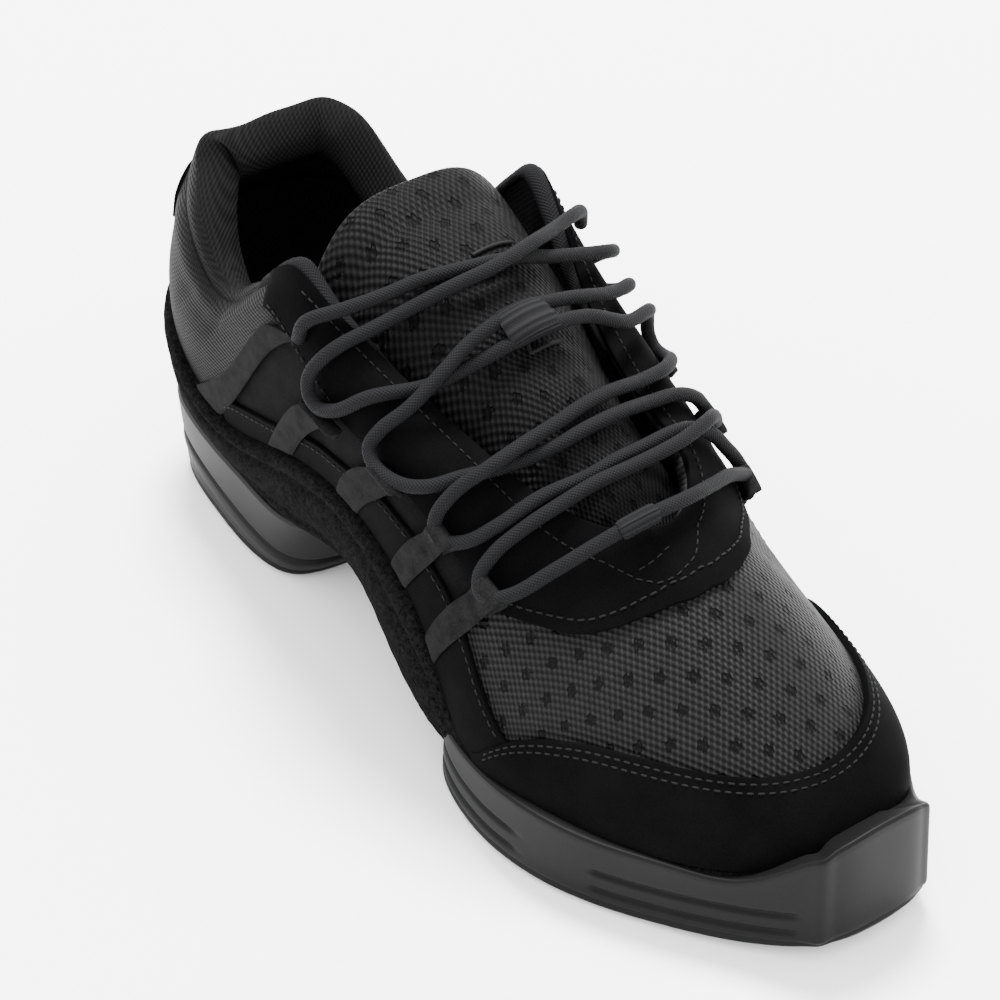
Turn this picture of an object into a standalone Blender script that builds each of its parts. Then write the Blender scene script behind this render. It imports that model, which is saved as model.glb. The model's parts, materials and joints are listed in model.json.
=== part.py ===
# Dance sneaker, right foot: split rubber sole, arch wrap, padded upper with lace tabs.
# Metres, +Z up, toe towards +X, medial side +Y, floor at z = 0, origin under the heel unit's middle.
import bpy
import bmesh
import numpy as np

# driving sizes
LENGTH = 0.265            # heel to toe of the forefoot unit
BALL_WIDTH = 0.100        # across the forefoot sole at the ball
UPPER_HEIGHT = 0.100      # floor to the eyestay peaks, nearly
CLEARANCE = 0.00035       # between pieces that touch on the real shoe
WALL = 0.0026             # upper wall: mesh, foam and lining
WRAP_THICKNESS = 0.0040   # padded wrap round the arch at its fullest
OVERLAY = 0.0012          # nubuck overlays
STRAP = 0.0014            # suede straps and lace tabs
STRAP_WIDTH = 0.0100
PADDING = 0.0075          # collar roll at its fullest
INSOLE = 0.0030
TREAD_LIP = 0.0038        # height of the lip round the forefoot unit's foot
GROOVE = 0.0009           # depth of the side grooves in both sole units
HEEL_GROOVE = 0.0100      # height of the groove round the heel unit
TOE_SPRING = 0.0030
LACE = 0.0035             # round cord diameter
CORD_TURN = 0.85          # radians between two stretches of the lace, where a point is added
KEEPER_WALL = 0.0008
EDGE_ROUND = 0.0030       # how far the sole units' ground edges turn in
HEEL_REST = 0.166 * LENGTH  # from the back of the heel to the middle of the heel unit, the origin
STATIONS = 60             # round the whole shoe
RISES = 11                # feather edge to rim
COLLAR_REACH = 10         # stations of padding to each side of the heel

# the last, one row for each section from heel to toe
# x in shares of LENGTH, lateral and medial half widths of BALL_WIDTH, z of UPPER_HEIGHT
# feather edge, where the upper turns under the foot
FEATHER = (
    # x, lateral, medial, z
    (0.015, 0.000, 0.000, 0.285),
    (0.045, 0.210, 0.220, 0.285),
    (0.121, 0.310, 0.290, 0.285),
    (0.219, 0.340, 0.310, 0.295),
    (0.328, 0.350, 0.290, 0.330),
    (0.445, 0.355, 0.300, 0.335),
    (0.558, 0.400, 0.365, 0.185),
    (0.630, 0.435, 0.410, 0.145),
    (0.709, 0.460, 0.445, 0.135),
    (0.830, 0.365, 0.400, 0.135),
    (0.925, 0.200, 0.262, 0.155),
    (0.962, -0.040, 0.040, 0.170),
)
# corner that each section bulges towards
SHOULDER = (
    # x, lateral, medial, z
    (-0.023, 0.000, 0.000, 0.660),
    (-0.004, 0.240, 0.240, 0.660),
    (0.091, 0.390, 0.360, 0.660),
    (0.204, 0.430, 0.390, 0.660),
    (0.325, 0.440, 0.415, 0.860),
    (0.445, 0.450, 0.435, 0.890),
    (0.570, 0.460, 0.445, 0.780),
    (0.642, 0.480, 0.462, 0.580),
    (0.717, 0.490, 0.470, 0.430),
    (0.838, 0.380, 0.440, 0.380),
    (0.943, 0.200, 0.300, 0.360),
    (0.981, -0.050, 0.050, 0.350),
)
# edge of the collar and throat
OPENING = (
    # x, lateral, medial, z
    (0.053, 0.000, 0.000, 0.965),
    (0.075, 0.155, 0.195, 0.955),
    (0.136, 0.260, 0.260, 0.865),
    (0.215, 0.300, 0.300, 0.800),
    (0.321, 0.340, 0.365, 1.020),
    (0.438, 0.285, 0.290, 0.920),
    (0.562, 0.210, 0.215, 0.790),
    (0.634, 0.170, 0.195, 0.755),
    (0.679, 0.115, 0.140, 0.735),
    (0.700, 0.050, 0.080, 0.723),
    (0.706, 0.010, 0.040, 0.720),
    (0.7075, -0.020, 0.020, 0.718),
)
# how square each section is, and where the wall, the wrap and its underside end there
SECTION = (
    # squareness, wall top, wrap top, wrap thickness, wrap underside
    (2.6, 0.88, 0.33, 0.50, 0.240),
    (2.6, 0.88, 0.31, 0.60, 0.240),
    (2.6, 0.88, 0.20, 0.85, 0.240),
    (2.6, 0.89, 0.13, 1.00, 0.240),
    (2.7, 0.95, 0.13, 1.00, 0.252),
    (2.8, 1.00, 0.15, 1.00, 0.290),
    (2.6, 1.00, 0.21, 1.00, 0.148),
    (2.4, 1.00, 0.08, 0.45, 0.098),
    (2.2, 1.00, 0.09, 0.38, 0.092),
    (2.1, 1.00, 0.12, 0.38, 0.092),
    (2.1, 1.00, 0.12, 0.38, 0.108),
    (2.1, 1.00, 0.12, 0.38, 0.118),
)
# forefoot unit, from its rear edge to the toe
FORE_UNIT = (
    # x, lateral, medial, rim z, lift of the ground edge in shares of TOE_SPRING
    (0.588, 0.000, 0.000, 0.100, 1.0),
    (0.593, 0.300, 0.280, 0.105, 0.9),
    (0.606, 0.440, 0.410, 0.165, 0.5),
    (0.660, 0.490, 0.465, 0.195, 0.0),
    (0.717, 0.500, 0.490, 0.205, 0.0),
    (0.774, 0.475, 0.495, 0.205, 0.0),
    (0.830, 0.415, 0.455, 0.200, 0.0),
    (0.887, 0.330, 0.380, 0.200, 0.2),
    (0.938, 0.240, 0.290, 0.210, 0.5),
    (0.977, 0.145, 0.215, 0.290, 0.8),
    (0.996, 0.050, 0.150, 0.335, 1.0),
    (1.000, -0.050, 0.050, 0.345, 1.0),
)
# heel unit, foot and top outlines from the back to the arch
HEEL_UNIT = (
    # foot x, lateral, medial, top x, lateral, medial
    (0.026, 0.000, 0.000, 0.008, 0.000, 0.000),
    (0.045, 0.220, 0.200, 0.030, 0.220, 0.210),
    (0.091, 0.320, 0.280, 0.075, 0.315, 0.285),
    (0.158, 0.355, 0.295, 0.158, 0.355, 0.310),
    (0.226, 0.373, 0.305, 0.234, 0.370, 0.315),
    (0.279, 0.350, 0.285, 0.317, 0.370, 0.310),
    (0.302, 0.240, 0.210, 0.366, 0.250, 0.220),
    (0.306, 0.000, 0.000, 0.374, 0.000, 0.000),
)
# tongue, from its top edge down to under the vamp
TONGUE = (
    # x, half width, side z, crown z, thickness, arch power
    (0.328, 0.300, 0.930, 1.130, 0.060, 3.6),
    (0.336, 0.315, 0.900, 1.155, 0.090, 3.6),
    (0.377, 0.315, 0.850, 1.125, 0.090, 3.2),
    (0.445, 0.320, 0.735, 1.060, 0.080, 2.6),
    (0.513, 0.285, 0.630, 0.985, 0.070, 2.4),
    (0.570, 0.255, 0.585, 0.900, 0.060, 2.3),
    (0.630, 0.230, 0.590, 0.800, 0.050, 2.3),
    (0.672, 0.200, 0.580, 0.725, 0.040, 2.2),
    (0.700, 0.180, 0.575, 0.668, 0.030, 2.2),
    (0.740, 0.150, 0.565, 0.6345, 0.026, 2.2),
)

# overlay edges: station along the rows above, then the share of the section from feather to rim
CAP_EDGE = ((7.85, 0.24), (8.1, 0.35), (8.7, 0.43), (9.5, 0.462), (10.4, 0.44), (11.0, 0.42))
SADDLE_EDGE = ((3.92, 0.86), (4.1, 0.70), (4.5, 0.59), (4.93, 0.51), (5.5, 0.535), (6.1, 0.575),
               (6.8, 0.60), (7.3, 0.64), (8.3, 0.735), (9.1, 0.77), (10.0, 0.83), (11.0, 0.86))
BAND_EDGE = ((2.95, 0.24), (3.5, 0.25), (4.2, 0.235), (4.93, 0.28), (5.45, 0.388), (5.9, 0.44),
             (6.55, 0.445), (7.2, 0.42), (7.78, 0.30))
# lace tabs: foot station on the wrap's top edge, then top station and top share
TABS = {
    "lateral": ((4.02, 4.72, 0.47), (5.03, 5.42, 0.505), (5.80, 6.14, 0.54), (6.34, 7.02, 0.57)),
    "medial": ((4.02, 4.60, 0.40), (5.03, 5.42, 0.44), (5.80, 6.14, 0.49), (6.34, 7.00, 0.53)),
}
REAR_STRAP = (2.78, 4.00, 0.56)
SEAM_STEP = 0.035         # share of the section between the wrap's top edge and what starts above it

# lace: one cord from the lateral top eyelet, down and across to the last bar and back up
LACE_ROUTE = (
    (0.385, -0.400, 0.980), (0.405, -0.323, 1.017), (0.419, -0.225, 1.040), (0.430, -0.150, 1.065),
    (0.445, -0.050, 1.080), (0.451, 0.080, 1.065), (0.449, 0.210, 1.015), (0.445, 0.315, 0.975),
    (0.440, 0.390, 0.945), (0.419, 0.440, 0.895), (0.396, 0.442, 0.850), (0.383, 0.434, 0.810),
    (0.385, 0.428, 0.784), (0.395, 0.426, 0.770), (0.411, 0.426, 0.776), (0.436, 0.428, 0.810),
    (0.470, 0.390, 0.890), (0.487, 0.310, 0.925), (0.506, 0.120, 1.012), (0.509, -0.020, 1.039),
    (0.506, -0.145, 1.000), (0.508, -0.225, 0.955), (0.506, -0.325, 0.887), (0.496, -0.390, 0.835),
    (0.494, -0.417, 0.798), (0.503, -0.424, 0.773), (0.517, -0.422, 0.760), (0.536, -0.407, 0.755),
    (0.560, -0.372, 0.770), (0.577, -0.309, 0.796), (0.594, -0.200, 0.810), (0.608, -0.090, 0.842),
    (0.610, -0.025, 0.856), (0.609, 0.050, 0.858), (0.596, 0.200, 0.816), (0.589, 0.305, 0.782),
    (0.585, 0.362, 0.740), (0.582, 0.392, 0.698), (0.586, 0.402, 0.677), (0.593, 0.397, 0.673),
    (0.608, 0.374, 0.700), (0.626, 0.328, 0.766), (0.641, 0.280, 0.798), (0.653, 0.185, 0.806),
    (0.657, 0.030, 0.806), (0.657, -0.085, 0.806), (0.653, -0.175, 0.780), (0.645, -0.255, 0.740),
    (0.637, -0.337, 0.680), (0.637, -0.375, 0.632), (0.644, -0.384, 0.608), (0.654, -0.378, 0.603),
    (0.666, -0.350, 0.618), (0.685, -0.255, 0.680), (0.700, -0.150, 0.739), (0.710, -0.040, 0.778),
    (0.708, 0.085, 0.772), (0.692, 0.185, 0.733), (0.671, 0.285, 0.682), (0.654, 0.360, 0.622),
    (0.646, 0.389, 0.598), (0.638, 0.394, 0.600), (0.634, 0.387, 0.620), (0.632, 0.355, 0.670),
    (0.631, 0.313, 0.729), (0.633, 0.240, 0.780), (0.640, 0.080, 0.804), (0.641, 0.010, 0.805),
    (0.642, -0.070, 0.797), (0.636, -0.200, 0.783), (0.626, -0.300, 0.732), (0.611, -0.365, 0.690),
    (0.596, -0.394, 0.680), (0.586, -0.402, 0.688), (0.582, -0.395, 0.712), (0.586, -0.348, 0.783),
    (0.596, -0.270, 0.834), (0.596, -0.165, 0.859), (0.596, -0.060, 0.879), (0.593, 0.005, 0.886),
    (0.589, 0.075, 0.882), (0.574, 0.220, 0.837), (0.560, 0.320, 0.808), (0.540, 0.377, 0.777),
    (0.511, 0.412, 0.733), (0.495, 0.418, 0.728), (0.484, 0.423, 0.750), (0.483, 0.422, 0.805),
    (0.504, 0.382, 0.867), (0.525, 0.275, 0.910), (0.530, 0.140, 0.990), (0.531, 0.000, 1.012),
    (0.517, -0.130, 0.962), (0.498, -0.240, 0.908), (0.471, -0.373, 0.887), (0.443, -0.427, 0.827),
    (0.425, -0.438, 0.813), (0.411, -0.439, 0.830), (0.407, -0.433, 0.862), (0.417, -0.395, 0.935),
    (0.424, -0.354, 0.964), (0.430, -0.305, 0.982), (0.442, -0.200, 1.022), (0.457, -0.115, 1.067),
    (0.466, 0.000, 1.095), (0.453, 0.135, 1.090), (0.428, 0.250, 1.050), (0.406, 0.350, 1.020),
    (0.391, 0.400, 0.987),
)
# elastic keepers: the stretches of the lace that each one holds, in rows of its route
KEEPERS = {"keeper_mid": ((18.5, 19.4), (90.6, 91.5)), "keeper_bottom": ((54.4, 55.2),)}


def clear_scene():
    for old in list(bpy.data.objects):
        bpy.data.objects.remove(old, do_unlink=True)


def place_on_origin():
    """Tables run from the back of the heel, so the whole shoe is set back by one empty."""
    shoe = bpy.data.objects.new("shoe", None)
    bpy.context.collection.objects.link(shoe)
    shoe.location = (-HEEL_REST, 0.0, 0.0)
    for piece in bpy.data.objects:
        if piece is not shoe:
            piece.parent = shoe


def material(name, colour, roughness):
    made = bpy.data.materials.new(name)
    made.use_nodes = True
    shader = made.node_tree.nodes["Principled BSDF"]
    shader.inputs["Base Color"].default_value = (*colour, 1.0)
    shader.inputs["Roughness"].default_value = roughness
    shader.inputs["Metallic"].default_value = 0.0
    return made


def add_object(name, verts, faces, finish):
    mesh = bpy.data.meshes.new(name)
    mesh.from_pydata([tuple(v) for v in verts], [], faces)
    shape = bmesh.new()
    shape.from_mesh(mesh)
    bmesh.ops.remove_doubles(shape, verts=shape.verts, dist=1e-6)
    bmesh.ops.recalc_face_normals(shape, faces=shape.faces)
    shape.to_mesh(mesh)
    shape.free()
    mesh.shade_smooth()
    mesh.set_sharp_from_angle(angle=0.6)
    mesh.materials.append(finish)
    made = bpy.data.objects.new(name, mesh)
    bpy.context.collection.objects.link(made)
    return made


class Loop:
    """Smooth closed curve through points, one unit of its parameter for each point."""

    def __init__(self, points):
        self.points = np.asarray(points, float)
        self.count = len(self.points)
        ahead = np.roll(self.points, -1, axis=0)
        behind = np.roll(self.points, 1, axis=0)
        unit = np.eye(self.count)
        weights = 4 * unit + np.roll(unit, 1, axis=1) + np.roll(unit, -1, axis=1)
        self.slopes = np.linalg.solve(weights, 3 * (ahead - behind))

    def __call__(self, u):
        u = np.asarray(u, float) % self.count
        low = np.floor(u).astype(int) % self.count
        high = (low + 1) % self.count
        t = (u - np.floor(u))[..., None]
        return ((2 * t**3 - 3 * t**2 + 1) * self.points[low] + (t**3 - 2 * t**2 + t) * self.slopes[low]
                + (3 * t**2 - 2 * t**3) * self.points[high] + (t**3 - t**2) * self.slopes[high])


def around(rows):
    """Lateral rows from heel to toe, then the medial rows back to the heel."""
    return list(rows) + list(rows)[-2:0:-1]


def outline(table):
    lateral = [(r[0] * LENGTH, -r[1] * BALL_WIDTH, r[3] * UPPER_HEIGHT) for r in table]
    medial = [(r[0] * LENGTH, r[2] * BALL_WIDTH, r[3] * UPPER_HEIGHT) for r in table]
    return Loop(lateral + medial[-2:0:-1])


feather = outline(FEATHER)
shoulder = outline(SHOULDER)
opening = outline(OPENING)
section = Loop(around(SECTION))
TURN = feather.count


def last_point(u, v):
    """Outer face of the upper: station u, share v from the feather edge to the opening."""
    u, v = np.broadcast_arrays(np.asarray(u, float), np.asarray(v, float))
    power = 2.0 / section(u)[..., 0]
    angle = np.clip(v, 0.0, 1.0) * np.pi / 2
    rise = (np.sin(angle) ** power)[..., None]
    inward = (1.0 - np.abs(np.cos(angle)) ** power)[..., None]
    base, corner, edge = feather(u), shoulder(u), opening(u)
    return base + (corner - base) * rise + (edge - corner) * inward


def last_normal(u, v):
    step = 0.02
    u, v = np.broadcast_arrays(np.asarray(u, float), np.asarray(v, float))
    along = last_point(u + step, v) - last_point(u - step, v)
    low = np.clip(v - step, 0.0, 1.0)
    up = last_point(u, np.clip(v + step, 0.0, 1.0)) - last_point(u, low)
    normal = np.cross(along, up)
    return normal / np.linalg.norm(normal, axis=-1, keepdims=True)


def off_last(u, v, offset):
    offset = np.asarray(offset, float)
    return last_point(u, v) + last_normal(u, v) * offset[..., None]


def level_out(u, distance, z):
    """Feather edge moved out in plan by a distance and set to a height."""
    normal = last_normal(u, 0.0) * (1.0, 1.0, 0.0)
    normal /= np.linalg.norm(normal, axis=-1, keepdims=True)
    points = feather(u) + normal * np.broadcast_to(distance, np.shape(u))[..., None]
    points[..., 2] = z
    return points


def ladder(start, count):
    """Faces across a ring, joining each lateral point to its medial partner."""
    faces = []
    for k in range(count // 2):
        near, far = (count - k) % count, count - k - 1
        quad = [start + k, start + k + 1, start + far, start + near]
        faces.append([i for n, i in enumerate(quad) if i not in quad[:n]])
    return faces


def ring_solid(name, rings, finish, closed=False):
    """Closed body through rings of points; its ends are laddered over or joined to each other."""
    count = len(rings[0])
    faces = []
    pairs = list(zip(range(len(rings) - 1), range(1, len(rings))))
    if closed:
        pairs.append((len(rings) - 1, 0))
    else:
        faces += ladder(0, count) + ladder((len(rings) - 1) * count, count)
    for low, high in pairs:
        for k in range(count):
            n = (k + 1) % count
            faces.append([low * count + k, low * count + n, high * count + n, high * count + k])
    return add_object(name, np.concatenate(rings), faces, finish)


def slab(name, outer, inner, finish):
    """Closed body between two grids of points of one size."""
    rows, columns = outer.shape[:2]
    half = rows * columns
    faces = []
    for i in range(rows - 1):
        for j in range(columns - 1):
            a, b = i * columns + j, (i + 1) * columns + j
            faces.append([a, a + 1, b + 1, b])
            faces.append([half + a, half + b, half + b + 1, half + a + 1])
    rim = [j for j in range(columns)]
    rim += [i * columns + columns - 1 for i in range(1, rows)]
    rim += [(rows - 1) * columns + j for j in range(columns - 2, -1, -1)]
    rim += [i * columns for i in range(rows - 2, 0, -1)]
    for a, b in zip(rim, rim[1:] + rim[:1]):
        faces.append([a, b, half + b, half + a])
    return add_object(name, np.concatenate([outer.reshape(-1, 3), inner.reshape(-1, 3)]), faces, finish)


def overlay(name, u, v, low, thickness, finish):
    """Piece cut between two offsets of the upper's own outer face."""
    full = np.full(np.shape(u), low)
    return slab(name, off_last(u, v, full + thickness), off_last(u, v, full), finish)


def edge_share(edge, u):
    table = np.array(edge)
    return np.interp(u, table[:, 0], table[:, 1])


def build_upper(finish):
    u = np.linspace(0.0, TURN, STATIONS, endpoint=False)
    top = section(u)[:, 1]
    outside, inside = [], []
    for rise in np.linspace(0.0, 1.0, RISES + 1):
        outside.append(off_last(u, rise * top, np.zeros(STATIONS)))
        inside.append(off_last(u, rise * top, np.full(STATIONS, -WALL)))
    inside[0] = level_out(u, -WALL, feather(u)[:, 2])
    return ring_solid("upper", outside + inside[::-1], finish, closed=True)


def wrap_rings(u, swell):
    """Underside, outside and top edge of the arch wrap, swollen by a distance."""
    values = section(u)
    top, thick, under = values[:, 2], values[:, 3] * WRAP_THICKNESS, values[:, 4] * UPPER_HEIGHT
    full = CLEARANCE + thick + swell
    return [
        level_out(u, -0.25 * WRAP_THICKNESS + swell, under - swell),
        level_out(u, 0.6 * thick + swell, under + 0.25 * WRAP_THICKNESS - 0.5 * swell),
        off_last(u, 0.0 * top, full),
        off_last(u, 0.5 * top, full),
        off_last(u, top, full - 0.35 * thick),
    ]


def build_wrap(finish):
    u = np.linspace(0.0, TURN, STATIONS, endpoint=False)
    top = section(u)[:, 2]
    gap = np.full(STATIONS, CLEARANCE)
    rings = wrap_rings(u, 0.0)
    rings += [off_last(u, top, gap), off_last(u, 0.5 * top, gap)]
    rings.append(level_out(u, CLEARANCE, feather(u)[:, 2] - CLEARANCE))
    return ring_solid("arch_wrap", rings, finish)


def build_clearance_form(finish):
    """Foot form, a clearance larger than the wrap and overlays, that hollows the forefoot unit."""
    u = np.linspace(0.0, TURN, STATIONS, endpoint=False)
    rings = wrap_rings(u, CLEARANCE)
    top = section(u)[:, 2]
    for share in (0.05, 0.15, 0.28, 0.42, 0.60):
        rings.append(off_last(u, top + share, np.full(STATIONS, 3 * CLEARANCE + OVERLAY)))
    form = ring_solid("clearance_form", rings, finish)
    form.hide_render = True
    form.display_type = "WIRE"
    return form


def plan_offset(points, distance):
    """Closed plan outline moved outwards by a distance."""
    ahead = np.roll(points, -1, axis=0) - np.roll(points, 1, axis=0)
    normal = np.stack([ahead[:, 1], -ahead[:, 0], np.zeros(len(points))], axis=1)
    return points + normal / np.linalg.norm(normal, axis=1, keepdims=True) * distance


def build_forefoot_unit(finish, form):
    count = 44
    table = [(r[0], r[1], r[2], r[3]) for r in FORE_UNIT]
    outline_loop = outline(table)
    lift_loop = Loop([[r[4]] for r in around(FORE_UNIT)])
    u = np.linspace(0.0, outline_loop.count, count, endpoint=False)
    edge = outline_loop(u)
    rim = edge[:, 2].copy()
    ground = np.clip(lift_loop(u)[:, 0], 0.0, 1.0) * TOE_SPRING
    band = rim - ground
    rings = []
    # height above the ground edge, then how far the side stands out
    profile = ((0.0, -EDGE_ROUND), (0.32 * TREAD_LIP, -0.27 * EDGE_ROUND), (0.84 * TREAD_LIP, 0.0),
               (TREAD_LIP, -GROOVE), (1.32 * TREAD_LIP, -GROOVE), (1.47 * TREAD_LIP, -0.2 * GROOVE))
    for height, out in profile:
        ring = plan_offset(edge, out)
        ring[:, 2] = ground + np.minimum(height, 0.5 * band)
        rings.append(ring)
    for share, out in ((0.80, -0.27 * EDGE_ROUND), (0.94, -0.2 * EDGE_ROUND), (1.0, -0.53 * EDGE_ROUND)):
        ring = plan_offset(edge, out)
        ring[:, 2] = ground + band * share
        rings.append(ring)
    unit = ring_solid("outsole_forefoot", rings, finish)
    cut = unit.modifiers.new("hollow for the foot", "BOOLEAN")
    cut.operation = "DIFFERENCE"
    cut.object = form
    return unit


def under_at(x):
    stations = np.linspace(0.0, len(SECTION) - 1.0, 80)
    return np.interp(x, feather(stations)[:, 0], section(stations)[:, 4] * UPPER_HEIGHT)


def build_heel_unit(finish):
    count = 40
    foot = outline([(r[0], r[1], r[2], 0.0) for r in HEEL_UNIT])
    head = outline([(r[3], r[4], r[5], 0.0) for r in HEEL_UNIT])
    u = np.linspace(0.0, foot.count, count, endpoint=False)
    low, high = foot(u), head(u)
    top = under_at(high[:, 0]) - CLEARANCE
    groove = HEEL_GROOVE / top
    rings = []
    steps = ((0.0, -0.8 * EDGE_ROUND), (0.06, -0.2 * EDGE_ROUND), (groove - 0.05, 0.0),
             (groove - 0.02, -GROOVE), (groove + 0.04, -GROOVE), (groove + 0.08, 0.0),
             (0.90, 0.0), (1.0, -0.4 * EDGE_ROUND))
    for share, out in steps:
        share = np.broadcast_to(share, (count,))[:, None]
        ring = plan_offset(low + (high - low) * share, out)
        ring[:, 2] = top * share[:, 0]
        rings.append(ring)
    return ring_solid("outsole_heel", rings, finish)


def build_insole(finish):
    u = np.linspace(0.0, TURN, STATIONS, endpoint=False)
    inset = -(WALL + CLEARANCE)
    base = feather(u)[:, 2] + CLEARANCE
    rings = [level_out(u, inset, base), level_out(u, inset, base + 0.8 * INSOLE),
             level_out(u, inset - 0.4 * INSOLE, base + INSOLE)]
    return ring_solid("insole", rings, finish)


def build_toe_cap(finish):
    last_station = 2 * (len(FEATHER) - 1) - CAP_EDGE[0][0]
    u = np.linspace(CAP_EDGE[0][0], last_station, 25)
    toe = len(FEATHER) - 1.0
    high = edge_share(CAP_EDGE, toe - np.abs(u - toe))
    low = section(u)[:, 2] + SEAM_STEP
    share = np.linspace(0.0, 1.0, 5)[:, None]
    v = low + (high - low) * share
    return overlay("toe_cap", np.broadcast_to(u, v.shape), v, CLEARANCE, OVERLAY, finish)


def build_saddle(finish):
    start = SADDLE_EDGE[0][0]
    toe = len(FEATHER) - 1.0
    u = np.linspace(start, 2 * toe - start, 49)
    low = edge_share(SADDLE_EDGE, toe - np.abs(u - toe))
    high = section(u)[:, 1] - 0.01
    share = np.linspace(0.0, 1.0, 6)[:, None]
    v = low + (high - low) * share
    return overlay("eyestay_saddle", np.broadcast_to(u, v.shape), v, CLEARANCE, OVERLAY, finish)


def build_band(side, finish):
    u = np.linspace(BAND_EDGE[0][0], BAND_EDGE[-1][0], 20)
    high = edge_share(BAND_EDGE, u)
    low = section(u)[:, 2] + SEAM_STEP
    share = np.linspace(0.0, 1.0, 4)[:, None]
    v = low + (high - low) * share
    u = np.broadcast_to(u if side == "lateral" else TURN - u, v.shape)
    return overlay("side_band_" + side, u, v, CLEARANCE, OVERLAY, finish)


def build_strap(name, side, strap, low, thickness, finish):
    """Suede strip up the side, from the wrap's top edge to a top station and share."""
    foot_u, top_u, top_v = strap
    along = np.linspace(0.0, 1.0, 7)[:, None]
    across = np.linspace(-0.5, 0.5, 3)[None, :]
    u = foot_u + (top_u - foot_u) * along
    pitch = np.linalg.norm(last_point(u + 0.05, top_v) - last_point(u - 0.05, top_v), axis=-1) / 0.1
    u = u + across * STRAP_WIDTH / pitch
    foot_v = section(u)[..., 2] + SEAM_STEP
    v = foot_v + (top_v - foot_v) * along
    if side == "medial":
        u = TURN - u
    return overlay(name + "_" + side, u, v, low, thickness, finish)


def build_heel_patch(finish):
    u = np.broadcast_to(np.linspace(-1.15, 1.15, 7), (4, 7))
    v = np.linspace(0.60, 0.86, 4)[:, None] + 0.0 * u
    return overlay("heel_patch", u, v, CLEARANCE, OVERLAY, finish)


def build_collar(finish):
    """Padded roll that sits on the wall's top edge and lines the heel."""
    reach = COLLAR_REACH * TURN / STATIONS
    u = np.linspace(-reach, reach, 2 * COLLAR_REACH + 1)
    top = section(u)[:, 1]
    swell = np.clip(1.4 * (1.0 - (np.abs(u) / reach) ** 3), 0.12, 1.0)
    skin = -(WALL + CLEARANCE)
    start = top + 0.014
    foot, low, high = [top * (RISES - k) / RISES for k in (3, 2, 1)]
    flat = 0.0 * u
    rows = [
        (start, flat), (0.5 * (start + 0.98), 0.08 * PADDING * swell), (flat + 0.98, 0.08 * PADDING * swell),
        (flat + 1.0, flat - 0.05 * PADDING), (flat + 1.0, -0.45 * PADDING * swell + 0.5 * skin),
        (flat + 0.985, -PADDING * swell + skin), (flat + 0.93, -1.1 * PADDING * swell + skin),
        (high, -0.9 * PADDING * swell + skin), (low, -0.6 * PADDING * swell + skin),
        (foot, flat - 0.1 * PADDING + skin), (foot, flat + skin), (low, flat + skin),
        (high, flat + skin), (start, flat + skin),
    ]
    grid = np.stack([off_last(u, v, offset) for v, offset in rows], axis=1)
    count, around_section = grid.shape[:2]
    faces = []
    for i in range(count - 1):
        for j in range(around_section):
            n = (j + 1) % around_section
            faces.append([i * around_section + j, i * around_section + n,
                          (i + 1) * around_section + n, (i + 1) * around_section + j])
    faces.append(list(range(around_section)))
    faces.append([(count - 1) * around_section + j for j in range(around_section)])
    return add_object("collar_padding", grid.reshape(-1, 3), faces, finish)


def tongue_grid(rows, columns, drop):
    """Top face of the tongue, lowered by a share of its thickness."""
    table = np.array(TONGUE)
    place = np.linspace(0.0, 1.0, len(TONGUE))
    wanted = np.linspace(0.0, 1.0, rows)
    x, half, side, crown, thick, power = [np.interp(wanted, place, table[:, c])[:, None] for c in range(6)]
    t = np.sin(np.linspace(-1.0, 1.0, columns) * np.pi / 2)[None, :]
    arch = 1.0 - np.abs(t) ** power
    z = (side + (crown - side) * arch - drop * thick * (0.45 + 0.55 * arch)) * UPPER_HEIGHT
    return np.stack(np.broadcast_arrays(x * LENGTH, half * t * BALL_WIDTH, z), axis=-1)


def build_tongue(finish):
    return slab("tongue", tongue_grid(14, 11, 0.0), tongue_grid(14, 11, 1.0), finish)


def cord_line(t):
    """Smooth line through the lace's route, one unit of t for each of its rows."""
    points = np.array(LACE_ROUTE) * (LENGTH, BALL_WIDTH, UPPER_HEIGHT)
    steps = np.linalg.norm(np.diff(points, axis=0), axis=1)[:, None]
    chords = np.diff(points, axis=0) / steps
    turns = (steps[1:] * chords[:-1] + steps[:-1] * chords[1:]) / (steps[1:] + steps[:-1])
    slopes = np.concatenate([chords[:1], turns, chords[-1:]])
    low = np.clip(np.floor(t).astype(int), 0, len(points) - 2)
    t = (t - low)[:, None]
    leave, arrive = slopes[low] * steps[low], slopes[low + 1] * steps[low]
    return ((2 * t**3 - 3 * t**2 + 1) * points[low] + (t**3 - 2 * t**2 + t) * leave
            + (3 * t**2 - 2 * t**3) * points[low + 1] + (t**3 - t**2) * arrive)


def build_lace(finish):
    """Round cord through the route, with an extra point where it turns hard."""
    rows = np.arange(len(LACE_ROUTE), dtype=float)
    chords = np.diff(cord_line(rows), axis=0)
    chords /= np.linalg.norm(chords, axis=1, keepdims=True)
    hard = (chords[1:] * chords[:-1]).sum(axis=1) < np.cos(CORD_TURN)
    bends = np.zeros(len(rows) - 1, bool)
    bends[1:] |= hard
    bends[:-1] |= hard
    centres = cord_line(np.sort(np.concatenate([rows, rows[:-1][bends] + 0.5])))
    curve = bpy.data.curves.new("lace", "CURVE")
    curve.dimensions = "3D"
    curve.bevel_depth = LACE / 2
    curve.bevel_resolution = 1
    curve.use_fill_caps = True
    line = curve.splines.new("POLY")
    line.points.add(len(centres) - 1)
    for point, centre in zip(line.points, centres):
        point.co = (*centre, 1.0)
    curve.materials.append(finish)
    lace = bpy.data.objects.new("lace", curve)
    bpy.context.collection.objects.link(lace)


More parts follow.
